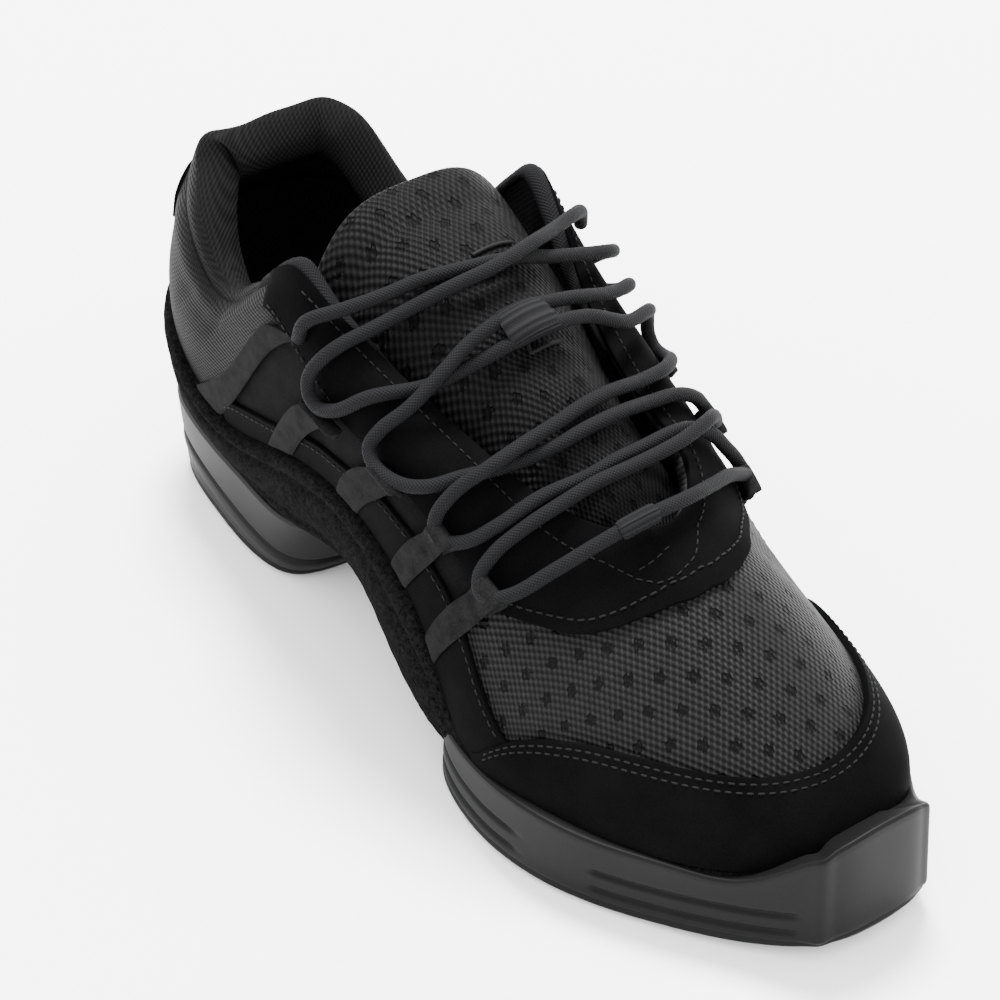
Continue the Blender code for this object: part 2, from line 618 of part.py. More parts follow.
def build_keeper(name, stretches, finish):
    """Elastic sleeve round the lace's stretches that run side by side."""
    runs = [cord_line(np.linspace(first, last, 4)) for first, last in stretches]
    middle = sum(runs) / len(runs)
    ahead = np.gradient(middle, axis=0)
    ahead /= np.linalg.norm(ahead, axis=1, keepdims=True)
    wide = runs[-1] - runs[0] if len(runs) > 1 else np.cross(ahead, (0.0, 0.0, 1.0))
    reach = np.linalg.norm(wide, axis=1)
    wide = wide / reach[:, None]
    apart = reach / 2 if len(runs) > 1 else 0.0 * reach
    tall = np.cross(wide, ahead)
    rings = []
    bore = LACE / 2 + 3 * CLEARANCE
    for radius, order in ((bore + KEEPER_WALL, range(4)), (bore, range(3, -1, -1))):
        for k in order:
            ring = []
            for angle in (np.arange(10) + 0.5) * np.pi / 5:
                side = np.cos(angle) * radius + np.sign(np.cos(angle)) * apart[k]
                ring.append(middle[k] + wide[k] * side + tall[k] * np.sin(angle) * radius)
            rings.append(np.array(ring))
    return ring_solid(name, rings, finish, closed=True)


def main():
    clear_scene()
    rubber = material("moulded rubber", (0.055, 0.055, 0.057), 0.55)
    mesh_cloth = material("sandwich mesh", (0.030, 0.030, 0.031), 0.85)
    nubuck = material("synthetic nubuck", (0.008, 0.008, 0.008), 0.75)
    suede = material("grey suede", (0.045, 0.045, 0.046), 0.85)
    felt = material("napped wrap", (0.018, 0.018, 0.018), 0.95)
    lining = material("lining mesh", (0.022, 0.022, 0.022), 0.90)
    cord = material("braided cord", (0.030, 0.030, 0.031), 0.80)
    elastic = material("ribbed elastic", (0.033, 0.033, 0.034), 0.85)
    form = build_clearance_form(rubber)
    build_forefoot_unit(rubber, form)
    build_heel_unit(rubber)
    build_wrap(felt)
    build_upper(mesh_cloth)
    build_insole(lining)
    build_tongue(mesh_cloth)
    build_collar(lining)
    build_toe_cap(nubuck)
    build_saddle(nubuck)
    build_heel_patch(nubuck)
    for side in ("lateral", "medial"):
        build_band(side, nubuck)
        lift = 2 * CLEARANCE + OVERLAY
        build_strap("rear_strap", side, REAR_STRAP, lift, STRAP, suede)
        for number, tab in enumerate(TABS[side], start=1):
            build_strap("lace_tab_%d" % number, side, tab, lift, STRAP, suede)
    build_lace(cord)
    for name, stretches in KEEPERS.items():
        build_keeper(name, stretches, elastic)
    place_on_origin()


main()
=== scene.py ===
import json
import math

import bmesh
import bpy
import numpy as np
from mathutils import Matrix, Vector

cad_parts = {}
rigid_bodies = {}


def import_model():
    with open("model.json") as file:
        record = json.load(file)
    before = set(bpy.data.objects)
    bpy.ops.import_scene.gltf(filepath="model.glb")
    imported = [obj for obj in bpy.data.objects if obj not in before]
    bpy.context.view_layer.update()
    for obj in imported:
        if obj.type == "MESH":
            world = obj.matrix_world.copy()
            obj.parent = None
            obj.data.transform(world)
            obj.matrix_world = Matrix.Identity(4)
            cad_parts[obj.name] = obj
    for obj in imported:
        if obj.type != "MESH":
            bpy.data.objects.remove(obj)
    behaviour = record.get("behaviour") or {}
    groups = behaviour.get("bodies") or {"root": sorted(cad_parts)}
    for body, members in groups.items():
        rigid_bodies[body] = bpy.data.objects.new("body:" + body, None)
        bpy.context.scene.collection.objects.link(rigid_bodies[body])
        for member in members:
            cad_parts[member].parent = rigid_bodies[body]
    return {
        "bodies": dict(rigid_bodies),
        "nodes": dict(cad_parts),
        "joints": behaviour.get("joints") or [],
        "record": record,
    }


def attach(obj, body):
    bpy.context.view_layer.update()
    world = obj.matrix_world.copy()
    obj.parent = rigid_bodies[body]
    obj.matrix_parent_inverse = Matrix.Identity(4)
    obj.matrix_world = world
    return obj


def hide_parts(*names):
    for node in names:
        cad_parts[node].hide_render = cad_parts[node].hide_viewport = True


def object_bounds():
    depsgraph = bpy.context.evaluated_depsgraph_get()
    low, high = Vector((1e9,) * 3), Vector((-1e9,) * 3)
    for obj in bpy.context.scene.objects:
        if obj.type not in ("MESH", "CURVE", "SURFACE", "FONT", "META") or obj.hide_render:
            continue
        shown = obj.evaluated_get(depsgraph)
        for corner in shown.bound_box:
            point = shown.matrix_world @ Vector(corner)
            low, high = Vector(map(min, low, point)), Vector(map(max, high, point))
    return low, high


# named sizes, as in the CAD source
LENGTH = 0.265
BALL_WIDTH = 0.100
UPPER_HEIGHT = 0.100
SIZES = (LENGTH, BALL_WIDTH, UPPER_HEIGHT)
HEEL_REST = 0.166 * LENGTH   # from the back of the heel to the frame's origin
WALL = 0.0026
WRAP_THICKNESS = 0.0040
STRAP = 0.0013
STRAP_WIDTH = 0.0100
PADDING = 0.0075
HEEL_GROOVE = 0.0100
TOE_SPRING = 0.0030
LACE = 0.0035
KEEPER_WALL = 0.0008
RIM = 0.0021                 # radius of the soft binding round the eyestay's top
MM = 0.001
BACKING = 0.2 * MM           # how far a sewn or seated piece reaches into what it lies on
CAP_LIFT = 1.7 * MM          # outer faces of the sewn pieces, off the upper
SADDLE_LIFT = 1.3 * MM
HEEL_PATCH_LIFT = 0.9 * MM
YARN = 0.915                 # mm between the yarns of the braid
LACE_YARNS = 12
RIM_YARNS = 15

# the last, heel to toe: x in shares of LENGTH, half widths of BALL_WIDTH, z of UPPER_HEIGHT
FEATHER = (
    # x, lateral, medial, z
    (0.015, 0.000, 0.000, 0.285),
    (0.045, 0.210, 0.220, 0.285),
    (0.121, 0.310, 0.290, 0.285),
    (0.219, 0.340, 0.310, 0.295),
    (0.328, 0.350, 0.290, 0.330),
    (0.445, 0.355, 0.300, 0.335),
    (0.558, 0.400, 0.365, 0.185),
    (0.630, 0.435, 0.410, 0.145),
    (0.709, 0.460, 0.445, 0.135),
    (0.830, 0.365, 0.400, 0.135),
    (0.925, 0.200, 0.262, 0.155),
    (0.962, -0.040, 0.040, 0.170),
)
SHOULDER = (
    (-0.023, 0.000, 0.000, 0.660),
    (-0.004, 0.240, 0.240, 0.660),
    (0.091, 0.390, 0.360, 0.660),
    (0.204, 0.430, 0.390, 0.660),
    (0.325, 0.440, 0.415, 0.860),
    (0.445, 0.450, 0.435, 0.890),
    (0.570, 0.460, 0.445, 0.780),
    (0.642, 0.480, 0.462, 0.580),
    (0.717, 0.490, 0.470, 0.430),
    (0.838, 0.380, 0.440, 0.380),
    (0.943, 0.200, 0.300, 0.360),
    (0.981, -0.050, 0.050, 0.350),
)
OPENING = (
    (0.053, 0.000, 0.000, 0.965),
    (0.075, 0.155, 0.195, 0.955),
    (0.136, 0.260, 0.260, 0.865),
    (0.215, 0.300, 0.300, 0.800),
    (0.321, 0.340, 0.365, 1.020),
    (0.438, 0.285, 0.290, 0.920),
    (0.562, 0.210, 0.215, 0.790),
    (0.634, 0.170, 0.195, 0.755),
    (0.679, 0.115, 0.140, 0.735),
    (0.700, 0.050, 0.080, 0.723),
    (0.706, 0.010, 0.040, 0.720),
    (0.7075, -0.020, 0.020, 0.718),
)
SECTION = (
    # squareness, wall top, wrap top, wrap thickness, wrap underside
    (2.6, 0.88, 0.33, 0.50, 0.240),
    (2.6, 0.88, 0.31, 0.60, 0.240),
    (2.6, 0.88, 0.20, 0.85, 0.240),
    (2.6, 0.89, 0.13, 1.00, 0.240),
    (2.7, 0.95, 0.13, 1.00, 0.252),
    (2.8, 1.00, 0.15, 1.00, 0.290),
    (2.6, 1.00, 0.21, 1.00, 0.148),
    (2.4, 1.00, 0.08, 0.45, 0.098),
    (2.2, 1.00, 0.09, 0.38, 0.092),
    (2.1, 1.00, 0.12, 0.38, 0.092),
    (2.1, 1.00, 0.12, 0.38, 0.108),
    (2.1, 1.00, 0.12, 0.38, 0.118),
)
FORE_UNIT = (
    # x, lateral, medial, rim z, lift of the ground edge in shares of TOE_SPRING
    (0.588, 0.000, 0.000, 0.100, 1.0),
    (0.593, 0.300, 0.280, 0.105, 0.9),
    (0.606, 0.440, 0.410, 0.165, 0.5),
    (0.660, 0.490, 0.465, 0.195, 0.0),
    (0.717, 0.500, 0.490, 0.205, 0.0),
    (0.774, 0.475, 0.495, 0.205, 0.0),
    (0.830, 0.415, 0.455, 0.200, 0.0),
    (0.887, 0.330, 0.380, 0.200, 0.2),
    (0.938, 0.240, 0.290, 0.210, 0.5),
    (0.977, 0.145, 0.215, 0.290, 0.8),
    (0.996, 0.050, 0.150, 0.335, 1.0),
    (1.000, -0.050, 0.050, 0.345, 1.0),
)
HEEL_UNIT = (
    # foot x, lateral, medial, top x, lateral, medial
    (0.026, 0.000, 0.000, 0.008, 0.000, 0.000),
    (0.045, 0.220, 0.200, 0.030, 0.220, 0.210),
    (0.091, 0.320, 0.280, 0.075, 0.315, 0.285),
    (0.158, 0.355, 0.295, 0.158, 0.355, 0.310),
    (0.226, 0.373, 0.305, 0.234, 0.370, 0.315),
    (0.279, 0.350, 0.285, 0.317, 0.370, 0.310),
    (0.302, 0.240, 0.210, 0.366, 0.250, 0.220),
    (0.306, 0.000, 0.000, 0.374, 0.000, 0.000),
)
TONGUE = (
    # x, half width, side z, crown z, thickness, arch power
    (0.328, 0.300, 0.930, 1.130, 0.060, 3.6),
    (0.336, 0.315, 0.900, 1.155, 0.090, 3.6),
    (0.377, 0.315, 0.850, 1.125, 0.090, 3.2),
    (0.445, 0.320, 0.735, 1.060, 0.080, 2.6),
    (0.513, 0.285, 0.630, 0.985, 0.070, 2.4),
    (0.570, 0.255, 0.585, 0.900, 0.060, 2.3),
    (0.630, 0.230, 0.590, 0.800, 0.050, 2.3),
    (0.672, 0.200, 0.580, 0.725, 0.040, 2.2),
    (0.700, 0.180, 0.575, 0.668, 0.030, 2.2),
    (0.740, 0.150, 0.565, 0.6345, 0.026, 2.2),
)

# overlay edges: station along the rows above, then the share of the section from feather to rim,
# on the lateral side and, where a third number is given, on the medial side
CAP_EDGE = ((7.62, 0.10, 0.09), (7.78, 0.18, 0.17), (7.96, 0.28, 0.26), (8.24, 0.37, 0.34),
            (8.48, 0.41, 0.37), (8.72, 0.44, 0.39), (9.1, 0.456, 0.405), (9.5, 0.462, 0.43),
            (9.93, 0.46, 0.44), (10.4, 0.45, 0.443), (11.0, 0.442, 0.442))
SADDLE_EDGE = ((3.90, 0.80, 0.80), (4.03, 0.744, 0.744), (4.35, 0.638, 0.638), (4.65, 0.55, 0.55),
               (4.93, 0.51, 0.51), (5.5, 0.535, 0.535), (6.1, 0.575, 0.575), (6.8, 0.60, 0.60),
               (7.3, 0.625, 0.64), (7.8, 0.68, 0.705), (8.1, 0.70, 0.745), (8.4, 0.715, 0.78),
               (8.76, 0.76, 0.80), (9.22, 0.81, 0.83), (9.88, 0.85, 0.855), (11.0, 0.87, 0.87))
BAND_EDGE = ((2.95, 0.23), (3.15, 0.275), (3.5, 0.25), (3.9, 0.222), (4.4, 0.24), (4.93, 0.28),
             (5.45, 0.388), (5.9, 0.44), (6.55, 0.445), (7.2, 0.41), (7.7, 0.345), (8.1, 0.28))
# straps: stations of the foot's two corners, of the top's two corners, and the top's share
TABS = {
    "lateral": ((3.76, 4.16, 4.50, 4.88, 0.43), (4.82, 5.14, 5.36, 5.64, 0.505),
                (5.64, 5.87, 6.02, 6.32, 0.555), (6.25, 6.48, 6.80, 7.26, 0.585)),
    "medial": ((3.78, 4.16, 4.42, 4.78, 0.40), (4.84, 5.16, 5.27, 5.57, 0.44),
               (5.66, 5.88, 6.00, 6.30, 0.49), (6.26, 6.48, 6.80, 7.20, 0.53)),
}
REAR_STRAP = (2.40, 2.88, 3.88, 4.40, 0.69)
SEAM_STEP = 0.035
EDGE_SOFT = 0.16            # stations over which an overlay's corners are rounded
# bar tacks on the tongue: shares along it and round it
BAR_TACKS = (((0.364, 0.250), (0.356, 0.312)), ((0.500, 0.244), (0.528, 0.238), (0.522, 0.290)))
# stitches at the front of the throat: stations and shares
THROAT_LINE = ((4.3, 0.945), (7.0, 0.93), (8.0, 0.92), (8.42, 0.915), (8.82, 0.90), (9.1, 0.89),
               (9.6, 0.888), (10.1, 0.903), (10.6, 0.92), (11.2, 0.932), (11.8, 0.945),
               (12.6, 0.96), (15.0, 0.95), (17.7, 0.945))
THROAT_TAIL = ((9.04, 0.905), (9.3, 0.922), (9.65, 0.94), (10.1, 0.957), (10.6, 0.968))

HEEL_PATCH_END = 1.15       # stations from the heel to the patch's ends
RIM_RUN = (3.45, 5.6)       # stations of the binding's ends
PANEL_FRONT = ((0.17, 0.6033), (6.4, 7.05))   # the side panel's end under tab 4: shares, then stations
COLLAR_REACH = 11 / 3       # stations from the heel to the collar's ends
COLLAR_SEAM = 0.24          # share round the roll where its ribbed outside meets the lining
COLLAR_ROLL = (
    # height in shares of the wall's top, plus a share, out by the padding, in by the wall
    (1.00, -0.020, 0.00, 0.214),
    (1.00, 0.004, 0.02, 0.0),
    (0.50, 0.495, 0.20, 0.0),
    (0.00, 0.985, 0.13, 0.0),
    (0.00, 1.000, -0.12, 0.0),
    (0.00, 1.000, -0.50, 0.5),
    (0.00, 0.985, -0.95, 1.0),
    (0.00, 0.930, -1.15, 1.0),
    (0.93, 0.000, -1.00, 1.0),
    (0.82, 0.000, -0.72, 1.0),
    (0.70, 0.000, -0.25, 1.0),
    (0.62, 0.000, 0.00, 0.4),
)
# corners of the collar's top edge, counted from the heel with the lateral side positive:
# rise in mm, station, half width; the last one pulls a corner inwards
COLLAR_CORNERS = ((4.0, -1.55, 0.50), (2.2, -0.95, 0.30), (-1.2, 0.05, 0.30), (3.2, 0.80, 0.30))
EYESTAY_PEAK = (3.2, 4.18, 0.28)
CORNER_PULL = (-2.4, 0.85, 0.35)
# creases of the cloth: station, height share, half width, depth in mm
CREASES = ((2.2, 0.62, 0.10, -0.5), (2.9, 0.72, 0.09, -0.4), (4.7, 0.40, 0.16, -0.35),
           (5.6, 0.47, 0.14, -0.4), (6.5, 0.52, 0.14, -0.35))
TONGUE_PACE = 1.15          # the tongue's rows crowd towards its top edge
TONGUE_HALF_WIDTH = 0.036
# depth, place along the piece and half width of each dent or seam, as shares
TONGUE_DENTS = ((0.012, 0.47, 0.02), (0.010, 0.60, 0.02), (0.008, 0.22, 0.03))
WRAP_SEAMS = ((0.35, 0.58, 0.06), (-1.1, 0.70, 0.03), (0.3, 0.79, 0.04), (-0.6, 0.46, 0.03))
WRAP_RELIEF = 1.3 * MM
# sides of the sole units, ground to top: share round the section, share of the height, mm out
FORE_PROFILE = np.array(((0.0, 0.0, -3.6), (0.05, 0.0, -2.6), (0.09, 0.015, -1.2), (0.13, 0.07, -0.1),
                         (0.20, 0.16, 0.0), (0.80, 0.86, -0.7), (0.86, 0.93, -0.75), (0.90, 0.975, -0.9),
                         (0.94, 1.0, -1.5), (1.0, 0.985, -4.6)))
HEEL_PROFILE = np.array(((0.0, 0.0, -3.4), (0.05, 0.0, -2.2), (0.09, 0.03, -0.8), (0.14, 0.08, 0.0),
                         (0.90, 0.95, 0.0), (0.95, 0.99, -0.6), (1.0, 1.0, -3.0)))
GROOVE_RUNS = ((160.0, 197.0, 3.0), (218.0, 258.5, 1.0))   # mm from the back of the heel: start, end, fade
GROOVE_LEVELS = (11.0, 6.0)                                # mm above the floor
TOE_CENTRE = 11.05                                         # station of the middle of the toe bumper
STITCH = ((0.0, -0.35), (0.12, 0.5), (0.42, 0.5), (0.54, -0.35))   # share of the pitch, rise in radii

PAPER = "#ffffff"


class Loop:
    """Smooth closed curve through points, one unit of its parameter for each point."""

    def __init__(self, points):
        self.points = np.asarray(points, float)
        self.count = len(self.points)
        ahead = np.roll(self.points, -1, axis=0)
        behind = np.roll(self.points, 1, axis=0)
        same = np.eye(self.count)
        weights = 4 * same + np.roll(same, 1, axis=1) + np.roll(same, -1, axis=1)
        self.slopes = np.linalg.solve(weights, 3 * (ahead - behind))

    def __call__(self, u):
        u = np.asarray(u, float) % self.count
        low = np.floor(u).astype(int) % self.count
        high = (low + 1) % self.count
        t = (u - np.floor(u))[..., None]
        return ((2 * t**3 - 3 * t**2 + 1) * self.points[low] + (t**3 - 2 * t**2 + t) * self.slopes[low]
                + (3 * t**2 - 2 * t**3) * self.points[high] + (t**3 - t**2) * self.slopes[high])


def around(rows):
    """Lateral rows from heel to toe, then the medial rows back to the heel."""
    return list(rows) + list(rows)[-2:0:-1]


def outline(table):
    lateral = [(r[0] * LENGTH - HEEL_REST, -r[1] * BALL_WIDTH, r[3] * UPPER_HEIGHT) for r in table]
    medial = [(r[0] * LENGTH - HEEL_REST, r[2] * BALL_WIDTH, r[3] * UPPER_HEIGHT) for r in table]
    return Loop(lateral + medial[-2:0:-1])


feather = outline(FEATHER)
shoulder = outline(SHOULDER)
opening = outline(OPENING)
section = Loop(around(SECTION))
TURN = feather.count
TOE = len(FEATHER) - 1.0


def hump(x, centre, width):
    return np.exp(-((x - centre) / width) ** 2)


def last_point(u, v):
    """Outer face of the upper: station u, share v from the feather edge to the opening."""
    u, v = np.broadcast_arrays(np.asarray(u, float), np.asarray(v, float))
    power = 2.0 / section(u)[..., 0]
    angle = np.clip(v, 0.0, 1.0) * np.pi / 2
    rise = (np.sin(angle) ** power)[..., None]
    inward = (1.0 - np.abs(np.cos(angle)) ** power)[..., None]
    base, corner, edge = feather(u), shoulder(u), opening(u)
    return base + (corner - base) * rise + (edge - corner) * inward + rim_shape(u, v)


def rim_shape(u, v):
    """Corners of the collar behind the heel and the rounded peaks of the eyestay, as stuffed and sewn."""
    round_heel = (u + TOE) % TURN - TOE
    lift = EYESTAY_PEAK[0] * hump(np.abs(round_heel), *EYESTAY_PEAK[1:])
    for rise, station, width in COLLAR_CORNERS:
        lift = lift + rise * hump(round_heel, station, width)
    spread = CORNER_PULL[0] * hump(round_heel, *CORNER_PULL[1:])
    share = np.clip(v, 0.0, 1.0) ** 8
    return np.stack([0.0 * share, spread * share, lift * share], axis=-1) * MM


def last_normal(u, v):
    step = 0.02
    u, v = np.broadcast_arrays(np.asarray(u, float), np.asarray(v, float))
    along = last_point(u + step, v) - last_point(u - step, v)
    up = last_point(u, np.clip(v + step, 0.0, 1.0)) - last_point(u, np.clip(v - step, 0.0, 1.0))
    normal = np.cross(along, up)
    return normal / np.linalg.norm(normal, axis=-1, keepdims=True)


def relief(u, v):
    """Padding, creases and pulls of the cloth, out from the last."""
    side = TOE - np.abs((u % TURN) - TOE)
    rear = 1.0 - np.clip(side - 3.2, 0.0, 1.0)
    height = 1.3 * rear * hump(v, 0.80, 0.10)
    height = height - 0.8 * rear * hump(v, 0.915 + 0.01 * np.sin(2.0 * side), 0.016)
    height = height + 0.25 * np.sin(7.0 * side + 3.0 * v) * hump(side, 8.2, 0.9) * hump(v, 0.62, 0.10)
    height = height + 1.6 * hump(u % TURN, 11.8, 1.7) * hump(v, 0.24, 0.13)
    for station, share, reach, depth in CREASES:
        line = side - station - 1.2 * (v - share)
        height = height + depth * hump(line, 0.0, reach) * hump(v, share, 0.16)
    return height * MM


def off_last(u, v, offset):
    offset = np.asarray(offset, float) + relief(np.asarray(u, float), np.asarray(v, float))
    return last_point(u, v) + last_normal(u, v) * offset[..., None]


def level_out(u, distance, z):
    """Feather edge moved out in plan by a distance and set to a height."""
    normal = last_normal(u, 0.0) * (1.0, 1.0, 0.0)
    normal /= np.linalg.norm(normal, axis=-1, keepdims=True)
    points = feather(u) + normal * np.broadcast_to(distance, np.shape(u))[..., None]
    points[..., 2] = z
    return points


def unrolled(u, v):
    """Flat pattern of the upper, in metres: away from the opening by the distance along the section."""
    steps = 24
    shares = np.linspace(0.0, 1.0, steps)[:, None] * (1.0 - v)[None, :] + v[None, :]
    line = last_point(np.broadcast_to(u, shares.shape), shares)
    reach = np.linalg.norm(np.diff(line, axis=0), axis=-1).sum(axis=0)
    rim, base = opening(u)[:, :2], feather(u)[:, :2]
    away = base - rim
    away /= np.linalg.norm(away, axis=1, keepdims=True)
    return rim + away * reach[:, None]


def edge_share(edge, u):
    """Height share of an overlay's edge at a station of either side, its corners rounded."""
    table = np.array(edge)
    shares = 0.0 * u
    for step in np.linspace(-EDGE_SOFT, EDGE_SOFT, 9):
        side = TOE - np.abs(u + step - TOE)
        lateral, medial = [np.interp(side, table[:, 0], table[:, k]) for k in (1, -1)]
        shares = shares + np.where(u + step > TOE, medial, lateral) / 9
    return shares


def wall_top(u):
    """Height share of the upper's top edge, raised a little at the eyestay's peaks."""
    side = TOE - np.abs(u % TURN - TOE)
    return section(u)[..., 1] + 0.035 * hump(side, 4.1, 0.45)


def link(name, data, finishes, replaces=()):
    """Adds a mesh or a curve as a piece of the shoe."""
    made = bpy.data.objects.new(name, data)
    bpy.context.scene.collection.objects.link(made)
    for finish in finishes:
        data.materials.append(finish)
    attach(made, "root")
    if replaces:
        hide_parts(*replaces)
    return made


def flat_sheet(length, width):
    """Flat pattern of a plain strip, in metres."""
    return lambda s, t: np.stack([s * length, t * width], axis=1)


def distances(points):
    """Distance of each point from the first, along their line."""
    return np.concatenate([[0.0], np.cumsum(np.linalg.norm(np.diff(points, axis=0), axis=1))])


def skin(name, counts, place, flat, finishes, replaces=(), closed=False, zone=None):
    """Fine grid whose points go where place(s, t) says, s and t from 0 to 1, with UVs in metres."""
    shape = bmesh.new()
    pattern = shape.loops.layers.uv.new("UVMap")
    bmesh.ops.create_grid(shape, x_segments=counts[0], y_segments=counts[1], size=0.5)
    s, t = (np.array([v.co[:2] for v in shape.verts]) + 0.5).T
    spread = flat(s, t)
    shape.verts.index_update()
    zones = zone(s, t) if zone else None
    for face in shape.faces:
        face.smooth = True
        if zone:
            face.material_index = int(zones[face.verts[0].index])
        for corner in face.loops:
            corner[pattern].uv = spread[corner.vert.index]
    for vert, point in zip(shape.verts, place(s, t)):
        vert.co = point
    if closed:
        bmesh.ops.remove_doubles(shape, verts=shape.verts, dist=1e-6)
    mesh = bpy.data.meshes.new(name)
    shape.to_mesh(mesh)
    shape.free()
    return link(name, mesh, finishes, replaces)


def thicken(piece, thickness, offset=-1.0, round_edge=0.0):
    wall = piece.modifiers.new("wall", "SOLIDIFY")
    wall.thickness = thickness
    wall.offset = offset
    if round_edge:
        soft = piece.modifiers.new("soft edge", "BEVEL")
        soft.width = round_edge
        soft.segments = 2
        soft.limit_method = "ANGLE"
        soft.angle_limit = math.radians(50)


def linear(code):
    """sRGB hex to the linear values that shaders take."""
    values = [int(code[i:i + 2], 16) / 255 for i in (1, 3, 5)]
    return [v / 12.92 if v <= 0.04045 else ((v + 0.055) / 1.055) ** 2.4 for v in values] + [1.0]


def node(tree, kind, inputs=(), output=0, **settings):
    """Adds a node with its settings and links; inputs, in order or by name, are values or sockets."""
    made = tree.nodes.new("ShaderNode" + kind)
    for name, value in settings.items():
        setattr(made, name, value)
    for name, value in (inputs.items() if isinstance(inputs, dict) else enumerate(inputs)):
        if isinstance(value, bpy.types.NodeSocket):
            tree.links.new(value, made.inputs[name])
        else:
            made.inputs[name].default_value = value
    return made.outputs[output]


def material(name, colour, roughness, shine=0.5, pattern=None):
    made = bpy.data.materials.new(name)
    made.use_nodes = True
    shader = made.node_tree.nodes["Principled BSDF"]
    shader.inputs["Base Color"].default_value = linear(colour)
    shader.inputs["Roughness"].default_value = roughness
    shader.inputs["Specular IOR Level"].default_value = shine
    if pattern:
        pattern(made.node_tree, shader)
    return made


def two_shades(tree, shader, share, dark, light, height, depth):
    """Two shades mixed by a share, and relief of a depth in metres by a height."""
    shade = node(tree, "Mix", {"Factor": share, "A": linear(dark), "B": linear(light)}, "Result",
                 data_type="RGBA")
    raised = node(tree, "Bump", {"Strength": 1.0, "Distance": depth, "Height": height})
    tree.links.new(shade, shader.inputs["Base Color"])
    tree.links.new(raised, shader.inputs["Normal"])


def millimetres(tree, frame="Object"):
    """Object coordinates, or the piece's own UV map, with one unit to the millimetre."""
    place = node(tree, "TexCoord", output=frame)
    return node(tree, "Mapping", {"Vector": place, "Scale": (1000, 1000, 1000)})


def smooth(rows, t):
    """Smooth line through rows of values, evenly spaced from t = 0 to 1."""
    rows = np.asarray(rows, float)
    rows = np.concatenate([2 * rows[:1] - rows[1:2], rows, 2 * rows[-1:] - rows[-2:-1]])
    place = np.clip(t, 0.0, 1.0) * (len(rows) - 3)
    low = np.minimum(np.floor(place).astype(int), len(rows) - 4)
    t = (place - low)[:, None]
    if rows.ndim == 3:
        each = np.arange(len(low))
        a, b, c, d = [rows[low + k, each] for k in range(4)]
    else:
        a, b, c, d = [rows[low + k] for k in range(4)]
    return 0.5 * (2 * b + (c - a) * t + (2 * a - 5 * b + 4 * c - d) * t**2 + (3 * b - a - 3 * c + d) * t**3)


# finishes

def ribs(tree, part, pitch):
    """Ribs across one direction, from -1 to 1."""
    turns = node(tree, "Math", (part, 2 * math.pi / pitch), operation="MULTIPLY")
    return node(tree, "Math", (turns,), operation="SINE")


def loops(tree, across, along, pitches):
    """Staggered loops of a knit, from -1 to 1."""
    waves = [ribs(tree, part, pitch) for part, pitch in zip((across, along), pitches)]
    return node(tree, "Math", waves, operation="MULTIPLY")


def sandwich_mesh(tree, shader, light="#1c1c1c"):
    """Sandwich mesh: raised loops 1.35 by 0.95 mm apart, with staggered rows of pinhole clusters."""
    knit, cells, hole = (2.7, 1.9), (9.3, 13.9), 1.05
    place = millimetres(tree, "UV")
    part = node(tree, "SeparateXYZ", (place,)).node.outputs
    height = loops(tree, part["X"], part["Y"], knit)
    reach = []
    for shift in (0.0, 0.5):
        cell = node(tree, "VectorMath", (place, (*cells, 1.0)), operation="DIVIDE")
        cell = node(tree, "VectorMath", (cell, (shift, shift, 0.0)), operation="ADD")
        cell = node(tree, "VectorMath", (cell,), operation="FRACTION")
        cell = node(tree, "VectorMath", (cell, (0.5, 0.5, 0.0)), operation="SUBTRACT")
        cell = node(tree, "VectorMath", (cell, (*cells, 0.0)), operation="MULTIPLY")
        reach.append(node(tree, "VectorMath", (cell,), "Value", operation="LENGTH"))
    near = node(tree, "Math", reach, operation="MINIMUM")
    fray = node(tree, "TexNoise", {"Vector": place, "Scale": 1.1, "Detail": 3.0})
    ragged = node(tree, "Math", (fray, 1.2, near), operation="MULTIPLY_ADD")
    ragged = node(tree, "Math", (height, 0.35, ragged), operation="MULTIPLY_ADD")
    pin = node(tree, "MapRange", {"Value": ragged, "From Min": hole + 1.2, "From Max": hole + 0.75})
    thread = node(tree, "MapRange", {"Value": height, "From Min": -0.55, "From Max": 0.95})
    wear = node(tree, "TexNoise", {"Vector": place, "Scale": 0.35, "Detail": 3.0})
    wear = node(tree, "Math", (wear, 0.45), operation="ADD")
    worn = node(tree, "Math", (thread, wear, 0.08), operation="MULTIPLY_ADD")
    share = node(tree, "Math", (pin, -1.2, worn), operation="MULTIPLY_ADD", use_clamp=True)
    depth = node(tree, "Math", (pin, -3.0, height), operation="MULTIPLY_ADD")
    two_shades(tree, shader, share, "#030303", light, depth, 0.20 * MM)


def painted_shade_tongue(tree, shader):
    """The same mesh with darker loops: painted shade over the whole tongue."""
    sandwich_mesh(tree, shader, "#131313")


def ribbed_mesh(tree, shader):
    """Quarter mesh: level ribs 1.1 mm apart with a finer cross thread, drawn a little coarse to show."""
    place = millimetres(tree)
    part = node(tree, "SeparateXYZ", (place,)).node.outputs
    along = node(tree, "Math", (part["X"], part["Y"]), operation="ADD")
    knit = loops(tree, along, part["Z"], (1.1, 1.1))
    height = node(tree, "Math", (knit, 0.5, ribs(tree, part["Z"], 1.1)), operation="MULTIPLY_ADD")
    share = node(tree, "MapRange", {"Value": height, "From Min": -1.3, "From Max": 1.6})
    wear = node(tree, "TexNoise", {"Vector": place, "Scale": 0.12, "Detail": 3.0})
    wear = node(tree, "Math", (wear, 0.45), operation="ADD")
    mottled = node(tree, "Math", (share, wear), operation="MULTIPLY")
    two_shades(tree, shader, mottled, "#060606", "#0e0e0e", height, 0.10 * MM)


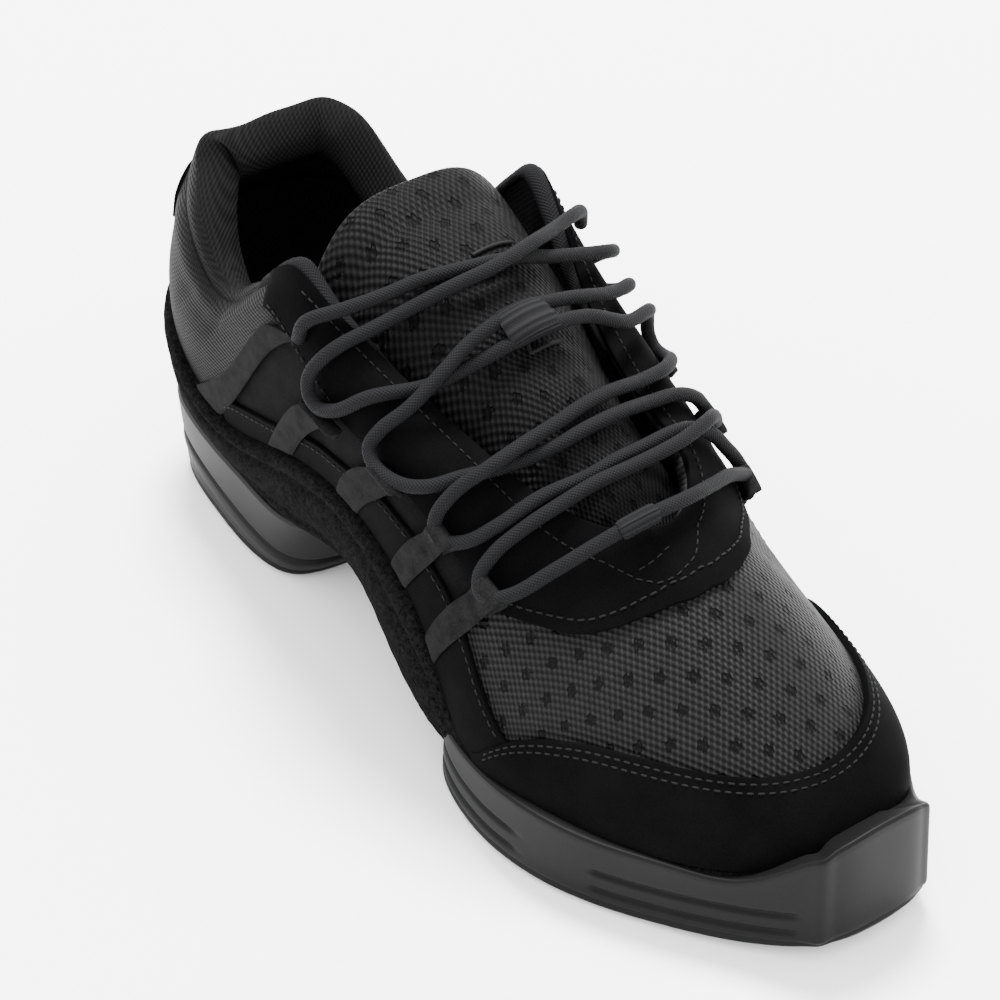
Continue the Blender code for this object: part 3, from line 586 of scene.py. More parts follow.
def fine_mesh(tree, shader):
    """Lining mesh: a fine knit on the bias."""
    part = node(tree, "SeparateXYZ", (millimetres(tree),)).node.outputs
    along = node(tree, "Math", (part["X"], part["Y"]), operation="ADD")
    height = loops(tree, along, part["Z"], (1.7, 1.7))
    share = node(tree, "MapRange", {"Value": height, "From Min": -1.0, "From Max": 1.2})
    two_shades(tree, shader, share, "#090909", "#141414", height, 0.12 * MM)


def napped(dark, light, grain, depth, patches):
    """Brushed leather or cloth: short nap in patches, its grain given in millimetres."""
    def pattern(tree, shader):
        place = millimetres(tree)
        nap = node(tree, "TexNoise", {"Vector": place, "Scale": 1.0 / grain, "Detail": 4.0})
        cloud = node(tree, "TexNoise", {"Vector": place, "Scale": 1.0 / patches, "Detail": 2.0})
        both = node(tree, "Math", (nap, cloud), operation="ADD")
        share = node(tree, "MapRange", {"Value": both, "From Min": 0.722, "From Max": 1.278})
        two_shades(tree, shader, share, dark, light, nap, depth)
    return pattern


def braided(tree, shader):
    """Braid: two sets of yarns that cross at an angle, 0.9 mm apart."""
    part = node(tree, "SeparateXYZ", (millimetres(tree, "UV"),)).node.outputs
    height = loops(tree, part["X"], part["Y"], (YARN, YARN))
    share = node(tree, "MapRange", {"Value": height, "From Min": -0.8, "From Max": 0.9})
    two_shades(tree, shader, share, "#0f0f10", "#1a1a1b", height, 0.10 * MM)


def ribbed_elastic(tree, shader):
    """Woven elastic: ribs along the lace, 1.3 mm apart."""
    part = node(tree, "SeparateXYZ", (millimetres(tree, "UV"),)).node.outputs
    knit = loops(tree, part["X"], part["Y"], (0.65, 0.65))
    height = node(tree, "Math", (knit, 0.25, ribs(tree, part["Y"], 1.3)), operation="MULTIPLY_ADD")
    share = node(tree, "MapRange", {"Value": height, "From Min": -1.2, "From Max": 1.2})
    two_shades(tree, shader, share, "#111112", "#1c1c1d", height, 0.15 * MM)


def moulded(tree, shader):
    """Moulded rubber: matt, with a faint grain and paler rubbed patches."""
    place = millimetres(tree)
    cloud = node(tree, "TexNoise", {"Vector": place, "Scale": 0.05, "Detail": 3.0})
    share = node(tree, "MapRange", {"Value": cloud, "From Min": 0.35, "From Max": 0.7})
    grain = node(tree, "TexNoise", {"Vector": place, "Scale": 2.2, "Detail": 3.0})
    two_shades(tree, shader, share, "#090909", "#0c0c0c", grain, 0.03 * MM)


def make_finishes():
    """Black and charcoal goods under strong light: shine is low wherever a nap or knit traps it."""
    return {
        # warp-knitted polyester: matt loops that catch light over dark gaps
        "sandwich_mesh": material("knitted_sandwich_mesh", "#151516", 0.55, 0.05, sandwich_mesh),
        # the same knit on the tongue: darker loops as painted shade, so the pad reads deeper than the vamp
        "painted_shade_tongue": material("knitted_tongue_painted_shade", "#101010", 0.60, 0.04, painted_shade_tongue),
        # soft knitted tape: a dull fine weave on the rolled edge
        "binding": material("knitted_binding", "#101011", 0.80, 0.02, braided),
        # ribbed polyester mesh: fine level lines with a faint shine
        "ribbed_mesh": material("ribbed_quarter_mesh", "#141415", 0.65, 0.03, ribbed_mesh),
        # brushed lining knit: very matt and nearly black inside the shoe
        "lining": material("lining_mesh", "#0a0a0b", 0.85, 0.02, fine_mesh),
        # microfibre with a sanded face: deep black with no highlight
        "nubuck": material("synthetic_nubuck", "#060606", 0.75, 0.008,
                           napped("#040404", "#080808", 0.35, 0.05 * MM, 14.0)),
        # the same microfibre, brushed more coarsely: a shade greyer
        "panel": material("brushed_side_panel", "#0b0b0b", 0.85, 0.01,
                          napped("#080808", "#0f0f0f", 0.6, 0.08 * MM, 6.0)),
        # napped split leather: grey, with cloudy patches where the nap lies over
        "suede": material("grey_suede", "#181819", 0.90, 0.02,
                          napped("#0c0c0c", "#181818", 0.55, 0.10 * MM, 4.0)),
        # needled felt: black with paler fibre ends
        "napped_wrap": material("napped_felt", "#0a0a0b", 0.95, 0.01,
                                napped("#030303", "#131313", 0.55, 0.45 * MM, 1.3)),
        # rubber from a matt mould: dark grey with a soft broad highlight
        "rubber": material("moulded_rubber", "#0e0e0e", 0.50, 0.07, moulded),
        # polyester yarn braided round a core: crossing yarns with thin dark gaps
        "cord": material("braided_cord", "#141415", 0.70, 0.03, braided),
        # woven elastic tape: ribs along it
        "elastic": material("ribbed_elastic", "#121213", 0.75, 0.03, ribbed_elastic),
        # bonded nylon thread: thin, a little paler than the leather
        "thread": material("sewing_thread", "#131314", 0.60, 0.05),
    }


# pieces

def zone_of(u, v):
    """0 vamp mesh, 1 brushed panel between the tabs, 2 ribbed mesh of the rear quarter."""
    side = TOE - np.abs((u % TURN) - TOE)
    foot, top = sum(REAR_STRAP[:2]) / 2, sum(REAR_STRAP[2:4]) / 2
    strap = np.interp(v, (0.16, REAR_STRAP[4]), (foot, top))
    return np.where(side < strap, 2, np.where(side < np.interp(v, *PANEL_FRONT), 1, 0))


def build_upper(finishes):
    """Cloth of the upper: mesh, panel and quarter outside, lining inside."""
    def place(s, t):
        u = s * TURN
        return off_last(u, t * wall_top(u), 0.0 * u)

    def flat(s, t):
        u = s * TURN
        return unrolled(u, t * wall_top(u))

    outer = [finishes[name] for name in ("sandwich_mesh", "panel", "ribbed_mesh")]
    shell = skin("upper_cloth", (440, 60), place, flat, outer + [finishes["lining"]] * len(outer),
                 ("upper",), closed=True, zone=lambda s, t: zone_of(s * TURN, t))
    thicken(shell, WALL)
    shell.modifiers["wall"].material_offset = len(outer)


def build_collar(finishes):
    """Padded roll over the wall's top edge, with the heel's lining below it."""
    def place(s, t):
        end = np.abs(2 * s - 1)
        u = (2 * s - 1) * COLLAR_REACH
        top = wall_top(u)
        swell = PADDING * np.clip(1.4 * (1.0 - end ** 3), 0.12, 1.0)
        spread = np.clip((1.0 - end) / 0.10, 0.0, 1.0) ** 0.5
        rings = []
        for of_top, more, padding, wall in COLLAR_ROLL:
            height = top + (of_top * top + more - top) * spread
            rings.append(off_last(u, height, padding * swell - wall * (WALL + BACKING)))
        return smooth(np.stack(rings), t)

    skin("collar_roll", (220, 64), place, flat_sheet(0.3, 0.05), [finishes["lining"], finishes["ribbed_mesh"]],
         ("collar_padding",), zone=lambda s, t: np.where(t < COLLAR_SEAM, 1, 0))


def tongue_point(s, t):
    """Surface of the padded tongue: s from its top edge to the throat, t round it."""
    row = s**TONGUE_PACE
    x, half, side, top, thick, power = smooth(TONGUE, row).T
    end = np.sqrt(np.clip(1.0 - (1.0 - np.clip(row / 0.09, 0.0, 1.0)) ** 2, 0.0, 1.0))
    angle = 2 * np.pi * t
    cross = np.cos(angle)
    arch = 1.0 - np.abs(cross) ** power
    depth = thick * (0.45 + 0.55 * arch)
    half = half * (0.86 + 0.14 * end)
    swing = np.sign(np.sin(angle)) * np.abs(np.sin(angle)) ** 0.55
    middle = side + (top - side) * arch - 0.5 * depth
    z = middle + 0.5 * depth * swing * (0.12 + 0.88 * end)
    dent = sum(deep * hump(row, at, width) for deep, at, width in TONGUE_DENTS)
    z = z - dent * (swing > 0) * hump(cross, 0.0, 0.7)
    return np.stack([x * LENGTH - HEEL_REST, -half * cross * BALL_WIDTH, z * UPPER_HEIGHT], axis=1)


def build_tongue(finishes):
    """Padded tongue, its top edge and sides rounded over."""
    arcs = distances(np.array(TONGUE)[:, [0, 3]] * (LENGTH, UPPER_HEIGHT))

    def flat(s, t):
        along = np.interp(s**TONGUE_PACE, np.linspace(0, 1, len(arcs)), arcs)
        return np.stack([along, np.cos(2 * np.pi * t) * TONGUE_HALF_WIDTH], axis=1)

    skin("tongue_pad", (170, 120), tongue_point, flat, [finishes["painted_shade_tongue"]],
         ("tongue",), closed=True)


def build_wrap(finishes):
    """Brushed wrap under the arch: a narrow bead above its seam and a fuller one below."""
    def place(s, t):
        u = s * TURN
        values = section(u)
        top, thick, under = values[:, 2], values[:, 3] * WRAP_THICKNESS, values[:, 4] * UPPER_HEIGHT
        flat = 0.0 * u
        rings = [
            level_out(u, -1.2 * WRAP_THICKNESS, under + 0.3 * MM),
            level_out(u, -0.25 * WRAP_THICKNESS, under),
            level_out(u, 0.6 * thick, under + 0.25 * WRAP_THICKNESS),
            off_last(u, flat, 0.35 * MM + thick), off_last(u, 0.5 * top, 0.35 * MM + thick),
            off_last(u, 0.92 * top, 0.2 * MM + 0.72 * thick), off_last(u, top, flat + 0.1 * MM),
        ]
        points = smooth(np.stack(rings), t)
        share = thick / WRAP_THICKNESS
        seams = sum(rise * hump(t, at, width) for rise, at, width in WRAP_SEAMS)
        uneven = 0.10 * np.sin(18.5 * u) * np.sin(11.0 * u + 9.0 * t)
        out = (seams + uneven) * share * WRAP_RELIEF
        return points + last_normal(u, 0.02) * out[:, None]

    close_below(skin("arch_wrap_felt", (440, 48), place, flat_sheet(0.6, 0.02), [finishes["napped_wrap"]],
                     ("arch_wrap",), closed=True))


def close_below(piece):
    """Fills the lowest open edge of a piece."""
    shape = bmesh.new()
    shape.from_mesh(piece.data)
    rim = [e for e in shape.edges if e.is_boundary]
    shape.verts.ensure_lookup_table()
    loops = []
    left = set(rim)
    while left:
        start = left.pop()
        found, border = {start}, [start]
        while border:
            edge = border.pop()
            for vert in edge.verts:
                for other in vert.link_edges:
                    if other in left:
                        left.remove(other)
                        found.add(other)
                        border.append(other)
        loops.append(found)
    lowest = min(loops, key=lambda found: sum(e.verts[0].co.z for e in found) / len(found))
    made = bmesh.ops.edgeloop_fill(shape, edges=list(lowest))
    bmesh.ops.triangulate(shape, faces=made["faces"])
    bmesh.ops.recalc_face_normals(shape, faces=shape.faces)
    shape.to_mesh(piece.data)
    shape.free()


def side_out(loop, u):
    """Level direction out of a closed outline."""
    ahead = loop(u + 0.03) - loop(u - 0.03)
    out = np.stack([ahead[:, 1], -ahead[:, 0], 0.0 * u], axis=1)
    return out / np.linalg.norm(out, axis=1, keepdims=True)


def window(x, start, end, fade):
    """1 between two places, falling softly to 0 outside them."""
    rise = 1 / (1 + np.exp(-(x - start) / fade * 3))
    fall = 1 / (1 + np.exp((x - end) / fade * 3))
    return rise * fall


def build_forefoot_unit(finishes):
    """Moulded cup: lip at the ground, two pairs of grooves along each side, thin rim and toe bumper."""
    edge = outline([row[:4] for row in FORE_UNIT])
    lift = Loop([[row[4]] for row in around(FORE_UNIT)])

    def place(s, t):
        u = s * edge.count
        base = edge(u)
        ground = np.clip(lift(u)[:, 0], 0.0, 1.0) * TOE_SPRING
        rise, out = [np.interp(t, FORE_PROFILE[:, 0], FORE_PROFILE[:, k]) for k in (1, 2)]
        height = (base[:, 2] - ground) * rise
        grooved = sum(window((base[:, 0] + HEEL_REST) / MM, *run) for run in GROOVE_RUNS)
        for level in GROOVE_LEVELS:
            out = out - 0.9 * grooved * hump(height, level * MM, 0.75 * MM)
        out = out - 0.3 * hump(height, 3.0 * MM, 0.6 * MM)
        toe = u - TOE_CENTRE
        corner = np.abs(toe)
        flare = 1.1 * hump(corner, 1.65, 0.22) + 0.7 * hump(corner, 1.65, 0.7) - 0.4 * hump(toe, 0.0, 0.9)
        inside = np.clip((t - 0.94) / 0.06, 0.0, 1.0)
        tuck = inside * hump(toe, 0.0, 2.2)
        out = out + flare * np.clip(rise * 8, 0.0, 1.0) - 7.0 * tuck - 2.5 * inside * hump(toe, 1.75, 0.7)
        points = base + side_out(edge, u) * out[:, None] * MM
        points[:, 2] = ground + height - 7.5 * MM * tuck
        return points

    close_below(skin("forefoot_cup", (520, 110), place, flat_sheet(0.4, 0.03), [finishes["rubber"]],
                     ("outsole_forefoot",), closed=True))


def build_heel_unit(finishes):
    """Moulded block: groove and ledge round it, drawn in to a rounded front."""
    foot = outline([(*row[:3], 0.0) for row in HEEL_UNIT])
    head = outline([(*row[3:], 0.0) for row in HEEL_UNIT])
    stations = np.linspace(0.0, TOE, 80)
    under_x, under_z = feather(stations)[:, 0], section(stations)[:, 4] * UPPER_HEIGHT

    def place(s, t):
        u = s * foot.count
        low, high = foot(u), head(u)
        top = np.interp(high[:, 0], under_x, under_z) + BACKING
        rise, out = [np.interp(t, HEEL_PROFILE[:, 0], HEEL_PROFILE[:, k]) for k in (1, 2)]
        points = low + (high - low) * rise[:, None]
        level = HEEL_GROOVE + 2.4 * MM - 0.065 * (points[:, 0] + HEEL_REST - 25 * MM)
        height = rise * top
        out = out - 0.9 * hump(height, level, 0.8 * MM) + 0.3 * hump(height, level - 2.6 * MM, 1.6 * MM)
        out = out - 0.35 * hump(height, 3.4 * MM, 0.7 * MM)
        points = points + side_out(foot, u) * out[:, None] * MM
        points[:, 2] = height
        return points

    close_below(skin("heel_block", (300, 100), place, flat_sheet(0.25, 0.03), [finishes["rubber"]],
                     ("outsole_heel",), closed=True))


def patch(name, counts, ends, shares, lift, finish, replaced):
    """Sheet sewn on the upper between two stations, its edges given as height shares."""
    def uv_of(s, t):
        u = ends[0] + (ends[1] - ends[0]) * s
        low, high = shares(u)
        return u, low + (high - low) * t

    sheet = skin(name, counts, lambda s, t: off_last(*uv_of(s, t), 0.0 * s + lift),
                 lambda s, t: unrolled(*uv_of(s, t)), [finish], (replaced,))
    thicken(sheet, lift + BACKING, -1.0, 0.3 * MM)


def build_overlays(finishes):
    """Toe cap, eyestay, heel patch and side bands, all of one nubuck."""
    nubuck = finishes["nubuck"]

    def above_wrap(u):
        return section(u)[:, 2] + 0.2 * SEAM_STEP

    def cap(u):
        return above_wrap(u), edge_share(CAP_EDGE, u)

    def saddle(u):
        return np.minimum(edge_share(SADDLE_EDGE, u), wall_top(u) - 0.01), wall_top(u)

    def heel(u):
        corner = (u / HEEL_PATCH_END) ** 10
        return 0.60 + 0.06 * corner, 0.86 - 0.07 * corner

    def band(u):
        return above_wrap(u), edge_share(BAND_EDGE, u)

    first = CAP_EDGE[0][0]
    patch("toe_cap_nubuck", (150, 30), (first, TURN - first), cap, CAP_LIFT, nubuck, "toe_cap")
    first = SADDLE_EDGE[0][0]
    patch("eyestay_nubuck", (260, 44), (first, TURN - first), saddle, SADDLE_LIFT, nubuck, "eyestay_saddle")
    patch("heel_patch_nubuck", (60, 24), (-HEEL_PATCH_END, HEEL_PATCH_END), heel, HEEL_PATCH_LIFT,
          nubuck, "heel_patch")
    low, high = BAND_EDGE[0][0], BAND_EDGE[-1][0]
    for side, ends in (("lateral", (low, high)), ("medial", (TURN - high, TURN - low))):
        patch("side_band_%s_nubuck" % side, (120, 14), ends, band, SADDLE_LIFT, nubuck, "side_band_" + side)


def build_rims(finishes):
    """Soft binding rolled over the eyestay's top edge, from the collar's end down the throat."""
    for side in ("lateral", "medial"):
        def place(s, t, side=side):
            station = RIM_RUN[0] + (RIM_RUN[1] - RIM_RUN[0]) * s
            u = station if side == "lateral" else TURN - station
            swell = np.clip(np.minimum(s / 0.12, (1.0 - s) / 0.35), 0.05, 1.0) ** 0.5
            out = unit(last_normal(u, 0.9 + 0.0 * u) * (1.0, 1.0, 0.0))
            ridge = off_last(u, wall_top(u), 0.0 * u - 0.5 * WALL) - out * BACKING
            angle = 2 * np.pi * t
            across = out * 1.15 * np.cos(angle)[:, None]
            up = np.outer(np.sin(angle), (0.0, 0.0, 1.0))
            return ridge + (across + up) * (RIM * swell)[:, None]

        skin("rim_binding_" + side, (160, 16), place, flat_sheet(0.075, RIM_YARNS * YARN * MM),
             [finishes["binding"]], closed=True)


# lace: one cord from the lateral top eyelet, down and across to the last bar and back up
LACE_ROUTE = (
    (0.385, -0.400, 0.980), (0.405, -0.323, 1.017), (0.419, -0.225, 1.040), (0.430, -0.150, 1.065),
    (0.445, -0.050, 1.080), (0.451, 0.080, 1.065), (0.449, 0.210, 1.015), (0.445, 0.315, 0.975),
    (0.440, 0.390, 0.945), (0.419, 0.440, 0.895), (0.396, 0.442, 0.850), (0.383, 0.434, 0.810),
    (0.385, 0.428, 0.784), (0.395, 0.426, 0.770), (0.411, 0.426, 0.776), (0.436, 0.428, 0.810),
    (0.470, 0.390, 0.890), (0.487, 0.310, 0.925), (0.506, 0.120, 1.012), (0.509, -0.020, 1.039),
    (0.506, -0.145, 1.000), (0.508, -0.225, 0.955), (0.506, -0.325, 0.887), (0.496, -0.390, 0.835),
    (0.494, -0.417, 0.798), (0.503, -0.424, 0.773), (0.517, -0.422, 0.760), (0.536, -0.407, 0.755),
    (0.560, -0.372, 0.770), (0.577, -0.309, 0.796), (0.594, -0.200, 0.810), (0.608, -0.090, 0.842),
    (0.610, -0.025, 0.856), (0.609, 0.050, 0.858), (0.596, 0.200, 0.816), (0.589, 0.305, 0.782),
    (0.585, 0.362, 0.740), (0.582, 0.392, 0.698), (0.586, 0.402, 0.677), (0.593, 0.397, 0.673),
    (0.608, 0.374, 0.700), (0.626, 0.328, 0.766), (0.641, 0.280, 0.798), (0.653, 0.185, 0.806),
    (0.657, 0.030, 0.806), (0.657, -0.085, 0.806), (0.653, -0.175, 0.780), (0.645, -0.255, 0.740),
    (0.637, -0.337, 0.680), (0.637, -0.375, 0.632), (0.644, -0.384, 0.608), (0.654, -0.378, 0.603),
    (0.666, -0.350, 0.618), (0.685, -0.255, 0.680), (0.700, -0.150, 0.739), (0.710, -0.040, 0.778),
    (0.708, 0.085, 0.772), (0.692, 0.185, 0.733), (0.671, 0.285, 0.682), (0.654, 0.360, 0.622),
    (0.646, 0.389, 0.598), (0.638, 0.394, 0.600), (0.634, 0.387, 0.620), (0.632, 0.355, 0.670),
    (0.631, 0.313, 0.729), (0.633, 0.240, 0.780), (0.640, 0.080, 0.804), (0.641, 0.010, 0.805),
    (0.642, -0.070, 0.797), (0.636, -0.200, 0.783), (0.626, -0.300, 0.732), (0.611, -0.365, 0.690),
    (0.596, -0.394, 0.680), (0.586, -0.402, 0.688), (0.582, -0.395, 0.712), (0.586, -0.348, 0.783),
    (0.596, -0.270, 0.834), (0.596, -0.165, 0.859), (0.596, -0.060, 0.879), (0.593, 0.005, 0.886),
    (0.589, 0.075, 0.882), (0.574, 0.220, 0.837), (0.560, 0.320, 0.808), (0.540, 0.377, 0.777),
    (0.511, 0.412, 0.733), (0.495, 0.418, 0.728), (0.484, 0.423, 0.750), (0.483, 0.422, 0.805),
    (0.504, 0.382, 0.867), (0.525, 0.275, 0.910), (0.530, 0.140, 0.990), (0.531, 0.000, 1.012),
    (0.517, -0.130, 0.962), (0.498, -0.240, 0.908), (0.471, -0.373, 0.887), (0.443, -0.427, 0.827),
    (0.425, -0.438, 0.813), (0.411, -0.439, 0.830), (0.407, -0.433, 0.862), (0.417, -0.395, 0.935),
    (0.424, -0.354, 0.964), (0.430, -0.305, 0.982), (0.442, -0.200, 1.022), (0.457, -0.115, 1.067),
    (0.466, 0.000, 1.095), (0.453, 0.135, 1.090), (0.428, 0.250, 1.050), (0.406, 0.350, 1.020),
    (0.391, 0.400, 0.987),
)
LACE_ENDS = ((0.377, -0.405, 0.925), (0.383, 0.415, 0.935))   # hidden in the wall behind the top eyelets
KEEPERS = {"keeper_mid": ((18.5, 19.4), (90.6, 91.5)), "keeper_bottom": ((54.4, 55.2),)}


def route_points(rows):
    return np.array(rows) * SIZES - (HEEL_REST, 0.0, 0.0)


def cord_line(t, rows=LACE_ROUTE):
    """Smooth line through the lace's route, one unit of t for each of its rows."""
    points = route_points(rows)
    steps = np.linalg.norm(np.diff(points, axis=0), axis=1)[:, None]
    chords = np.diff(points, axis=0) / steps
    turns = (steps[1:] * chords[:-1] + steps[:-1] * chords[1:]) / (steps[1:] + steps[:-1])
    slopes = np.concatenate([chords[:1], turns, chords[-1:]])
    low = np.clip(np.floor(t).astype(int), 0, len(points) - 2)
    t = (t - low)[:, None]
    leave, arrive = slopes[low] * steps[low], slopes[low + 1] * steps[low]
    return ((2 * t**3 - 3 * t**2 + 1) * points[low] + (t**3 - 2 * t**2 + t) * leave
            + (3 * t**2 - 2 * t**3) * points[low + 1] + (t**3 - t**2) * arrive)


def unit(vectors):
    return vectors / np.linalg.norm(vectors, axis=-1, keepdims=True)


def along_line(line, count):
    """Points evenly spaced along a fine line, their directions and distances."""
    arc = distances(line)
    wanted = np.linspace(0.0, arc[-1], count)
    points = np.stack([np.interp(wanted, arc, line[:, k]) for k in range(3)], axis=1)
    return points, unit(np.gradient(points, axis=0)), wanted


def carried_side(ahead):
    """A side direction carried along a line without twist."""
    sides = [np.cross(ahead[0], (0.0, 0.0, 1.0))]
    for direction in ahead[1:]:
        sides.append(sides[-1] - direction * (sides[-1] @ direction))
        sides[-1] = sides[-1] / np.linalg.norm(sides[-1])
    sides[0] = sides[0] / np.linalg.norm(sides[0])
    return np.array(sides)


def build_lace(finishes):
    """Braided cord along the whole route, with its kinks eased."""
    rows = LACE_ENDS[:1] + LACE_ROUTE + LACE_ENDS[1:]
    count, facets = 1500, 14
    line = cord_line(np.linspace(0.0, len(rows) - 1.0, 6000), rows)
    for _ in range(60):
        line[1:-1] = 0.5 * line[1:-1] + 0.25 * (line[2:] + line[:-2])
    points, ahead, reach = along_line(line, count + 1)
    side = carried_side(ahead)
    other = np.cross(ahead, side)

    def place(s, t):
        k = np.rint(s * count).astype(int)
        angle = -2 * np.pi * t
        return points[k] + LACE / 2 * (side[k] * np.cos(angle)[:, None] + other[k] * np.sin(angle)[:, None])

    skin("lace_cord", (count, facets), place, flat_sheet(reach[-1], LACE_YARNS * YARN * MM),
         [finishes["cord"]], ("lace",), closed=True)


def build_keeper(name, stretches, finishes):
    """Elastic sleeve round the lace's stretches that run side by side."""
    count = 40
    runs = [along_line(cord_line(np.linspace(first, last, 60)), count + 1)[0] for first, last in stretches]
    middle = sum(runs) / len(runs)
    ahead = unit(np.gradient(middle, axis=0))
    wide = runs[-1] - runs[0] if len(runs) > 1 else np.cross(ahead, (0.0, 0.0, 1.0))
    apart = np.linalg.norm(wide, axis=1) / 2 if len(runs) > 1 else 0.4 * MM + 0.0 * ahead[:, 0]
    wide = unit(wide)
    tall = np.cross(wide, ahead)
    radius = LACE / 2 + 0.4 * KEEPER_WALL
    girth = 2 * math.pi * radius + 4 * apart.mean()

    def place(s, t):
        k = np.rint(s * count).astype(int)
        angle = 2 * np.pi * t
        wave = 1.0 + 0.04 * np.cos(2 * np.pi * t * round(girth / (1.0 * MM)))
        square = np.abs(np.cos(angle)) ** 0.7 * np.sign(np.cos(angle))
        end = 1.0 - 0.12 * (hump(s, 0.0, 0.06) + hump(s, 1.0, 0.06))
        across = square * (radius * wave * end + apart[k])
        up = np.sin(angle) * radius * wave * end
        return middle[k] + wide[k] * across[:, None] + tall[k] * up[:, None]

    pattern = flat_sheet(np.linalg.norm(middle[-1] - middle[0]), girth)
    sleeve = skin(name + "_elastic", (count, 96), place, pattern, [finishes["elastic"]],
                  (name,), closed=True)
    thicken(sleeve, 0.4 * KEEPER_WALL)


def build_strap(name, side, strap, finishes, looped):
    """Suede strip up the side; a lace tab's top is folded round the lace and back under itself."""
    foot_back, foot_front, top_back, top_front, top_v = strap

    def wrap_edge(station):
        return section(station)[..., 2] + 0.5 * SEAM_STEP

    def on_side(station):
        return np.asarray(station) if side == "lateral" else TURN - np.asarray(station)

    top = on_side([0.5 * (top_back + top_front)])
    foot = on_side([0.5 * (foot_back + foot_front)])
    head = off_last(top, top_v, 0.0 * top)[0]
    tail = off_last(foot, wrap_edge(foot), 0.0 * foot)[0]
    length = np.linalg.norm(head - tail)
    up = (head - tail) / length
    out = last_normal(top, top_v)[0]
    if looped:
        lace = cord_line(np.linspace(0, len(LACE_ROUTE) - 1.0, 3000))
        near = lace[np.argmin(np.linalg.norm(lace - (head + out * 3.65 * MM), axis=1))] - head
        over, height = near @ up, near @ out
        r = LACE / 2 + 0.75 * MM
        turn = np.radians((150, 105, 60, 15, -30, -75))
        bend = zip(over + r * np.cos(turn), height + r * np.sin(turn))
        rows = [(-length, 2.0 * MM), (-0.75 * length, 2.2 * MM), (-0.5 * length, 2.3 * MM),
                (over - 7.0 * MM, 2.4 * MM), (over - 4.2 * MM, 2.9 * MM), *bend,
                (over - 3.5 * MM, 0.9 * MM)]
    else:
        rows = [(-k / 4 * length, 1.6 * MM) for k in (4, 3, 2, 1, 0)]
    rows = np.array(rows)
    steps = distances(rows)
    even = np.linspace(0.0, steps[-1], 40)
    rows = np.stack([np.interp(even, steps, rows[:, k]) for k in range(2)], axis=1)
    for _ in range(3):
        rows[1:-1] = 0.5 * rows[1:-1] + 0.25 * (rows[2:] + rows[:-2])

    def place(s, t):
        along, offset = smooth(rows, t).T
        share = 1.0 + along / length
        s = 0.5 + (s - 0.5) * (1.0 - 0.16 * hump(along, 0.0, 5 * MM) * looped)
        low = on_side(foot_back + (foot_front - foot_back) * s)
        u = low + (on_side(top_back + (top_front - top_back) * s) - low) * share
        v = wrap_edge(low) + (top_v - wrap_edge(low)) * share
        edge = 0.35 * MM * np.clip(np.abs(s - 0.5) * 2 - 0.8, 0.0, 1.0) / 0.2
        return off_last(u, v, offset - edge)

    strip = skin("%s_%s_suede" % (name, side), (16, 90), place, flat_sheet(STRAP_WIDTH, length),
                 [finishes["suede"]], ("%s_%s" % (name, side),))
    if side == "medial":
        strip.data.flip_normals()
    thicken(strip, STRAP, -1.0, 0.25 * MM)


def threads(name, paths, radius, rounds, finish):
    """Round threads along short paths, joined in one curve."""
    curve = bpy.data.curves.new(name, "CURVE")
    curve.dimensions = "3D"
    curve.bevel_depth = radius
    curve.bevel_resolution = rounds
    curve.use_fill_caps = True
    for path in paths:
        thread = curve.splines.new("POLY")
        thread.points.add(len(path) - 1)
        for point, place in zip(thread.points, path):
            point.co = (*place, 1.0)
    link(name, curve, [finish])


def build_stitches(name, lines, lift, pitch, finish, radius=0.27 * MM):
    """Rows of short bent stitches; each line gives stations and height shares."""
    paths = []
    for u, v in lines:
        points, out = off_last(u, v, 0.0 * u), last_normal(u, v)
        arc = distances(points)
        for start in np.arange(0.5 * pitch, arc[-1] - pitch, pitch):
            path = []
            for share, rise in STITCH:
                at, height = start + share * pitch, lift + rise * radius
                path.append([np.interp(at, arc, points[:, k]) + np.interp(at, arc, out[:, k]) * height
                             for k in range(3)])
            paths.append(path)
    threads(name, paths, radius, 1, finish)


def build_bar_tacks(finishes):
    """Short raised bars of thread across the tongue, above and below the middle keeper."""
    paths = []
    for rows in BAR_TACKS:
        share = np.linspace(0, len(rows) - 1, 10 * len(rows))
        s, t = [np.interp(share, range(len(rows)), column) for column in np.array(rows).T]
        paths.append(tongue_point(s, t) + (0.0, 0.0, 0.45 * MM))
    threads("tongue_bar_tacks", paths, 0.55 * MM, 2, finishes["thread"])


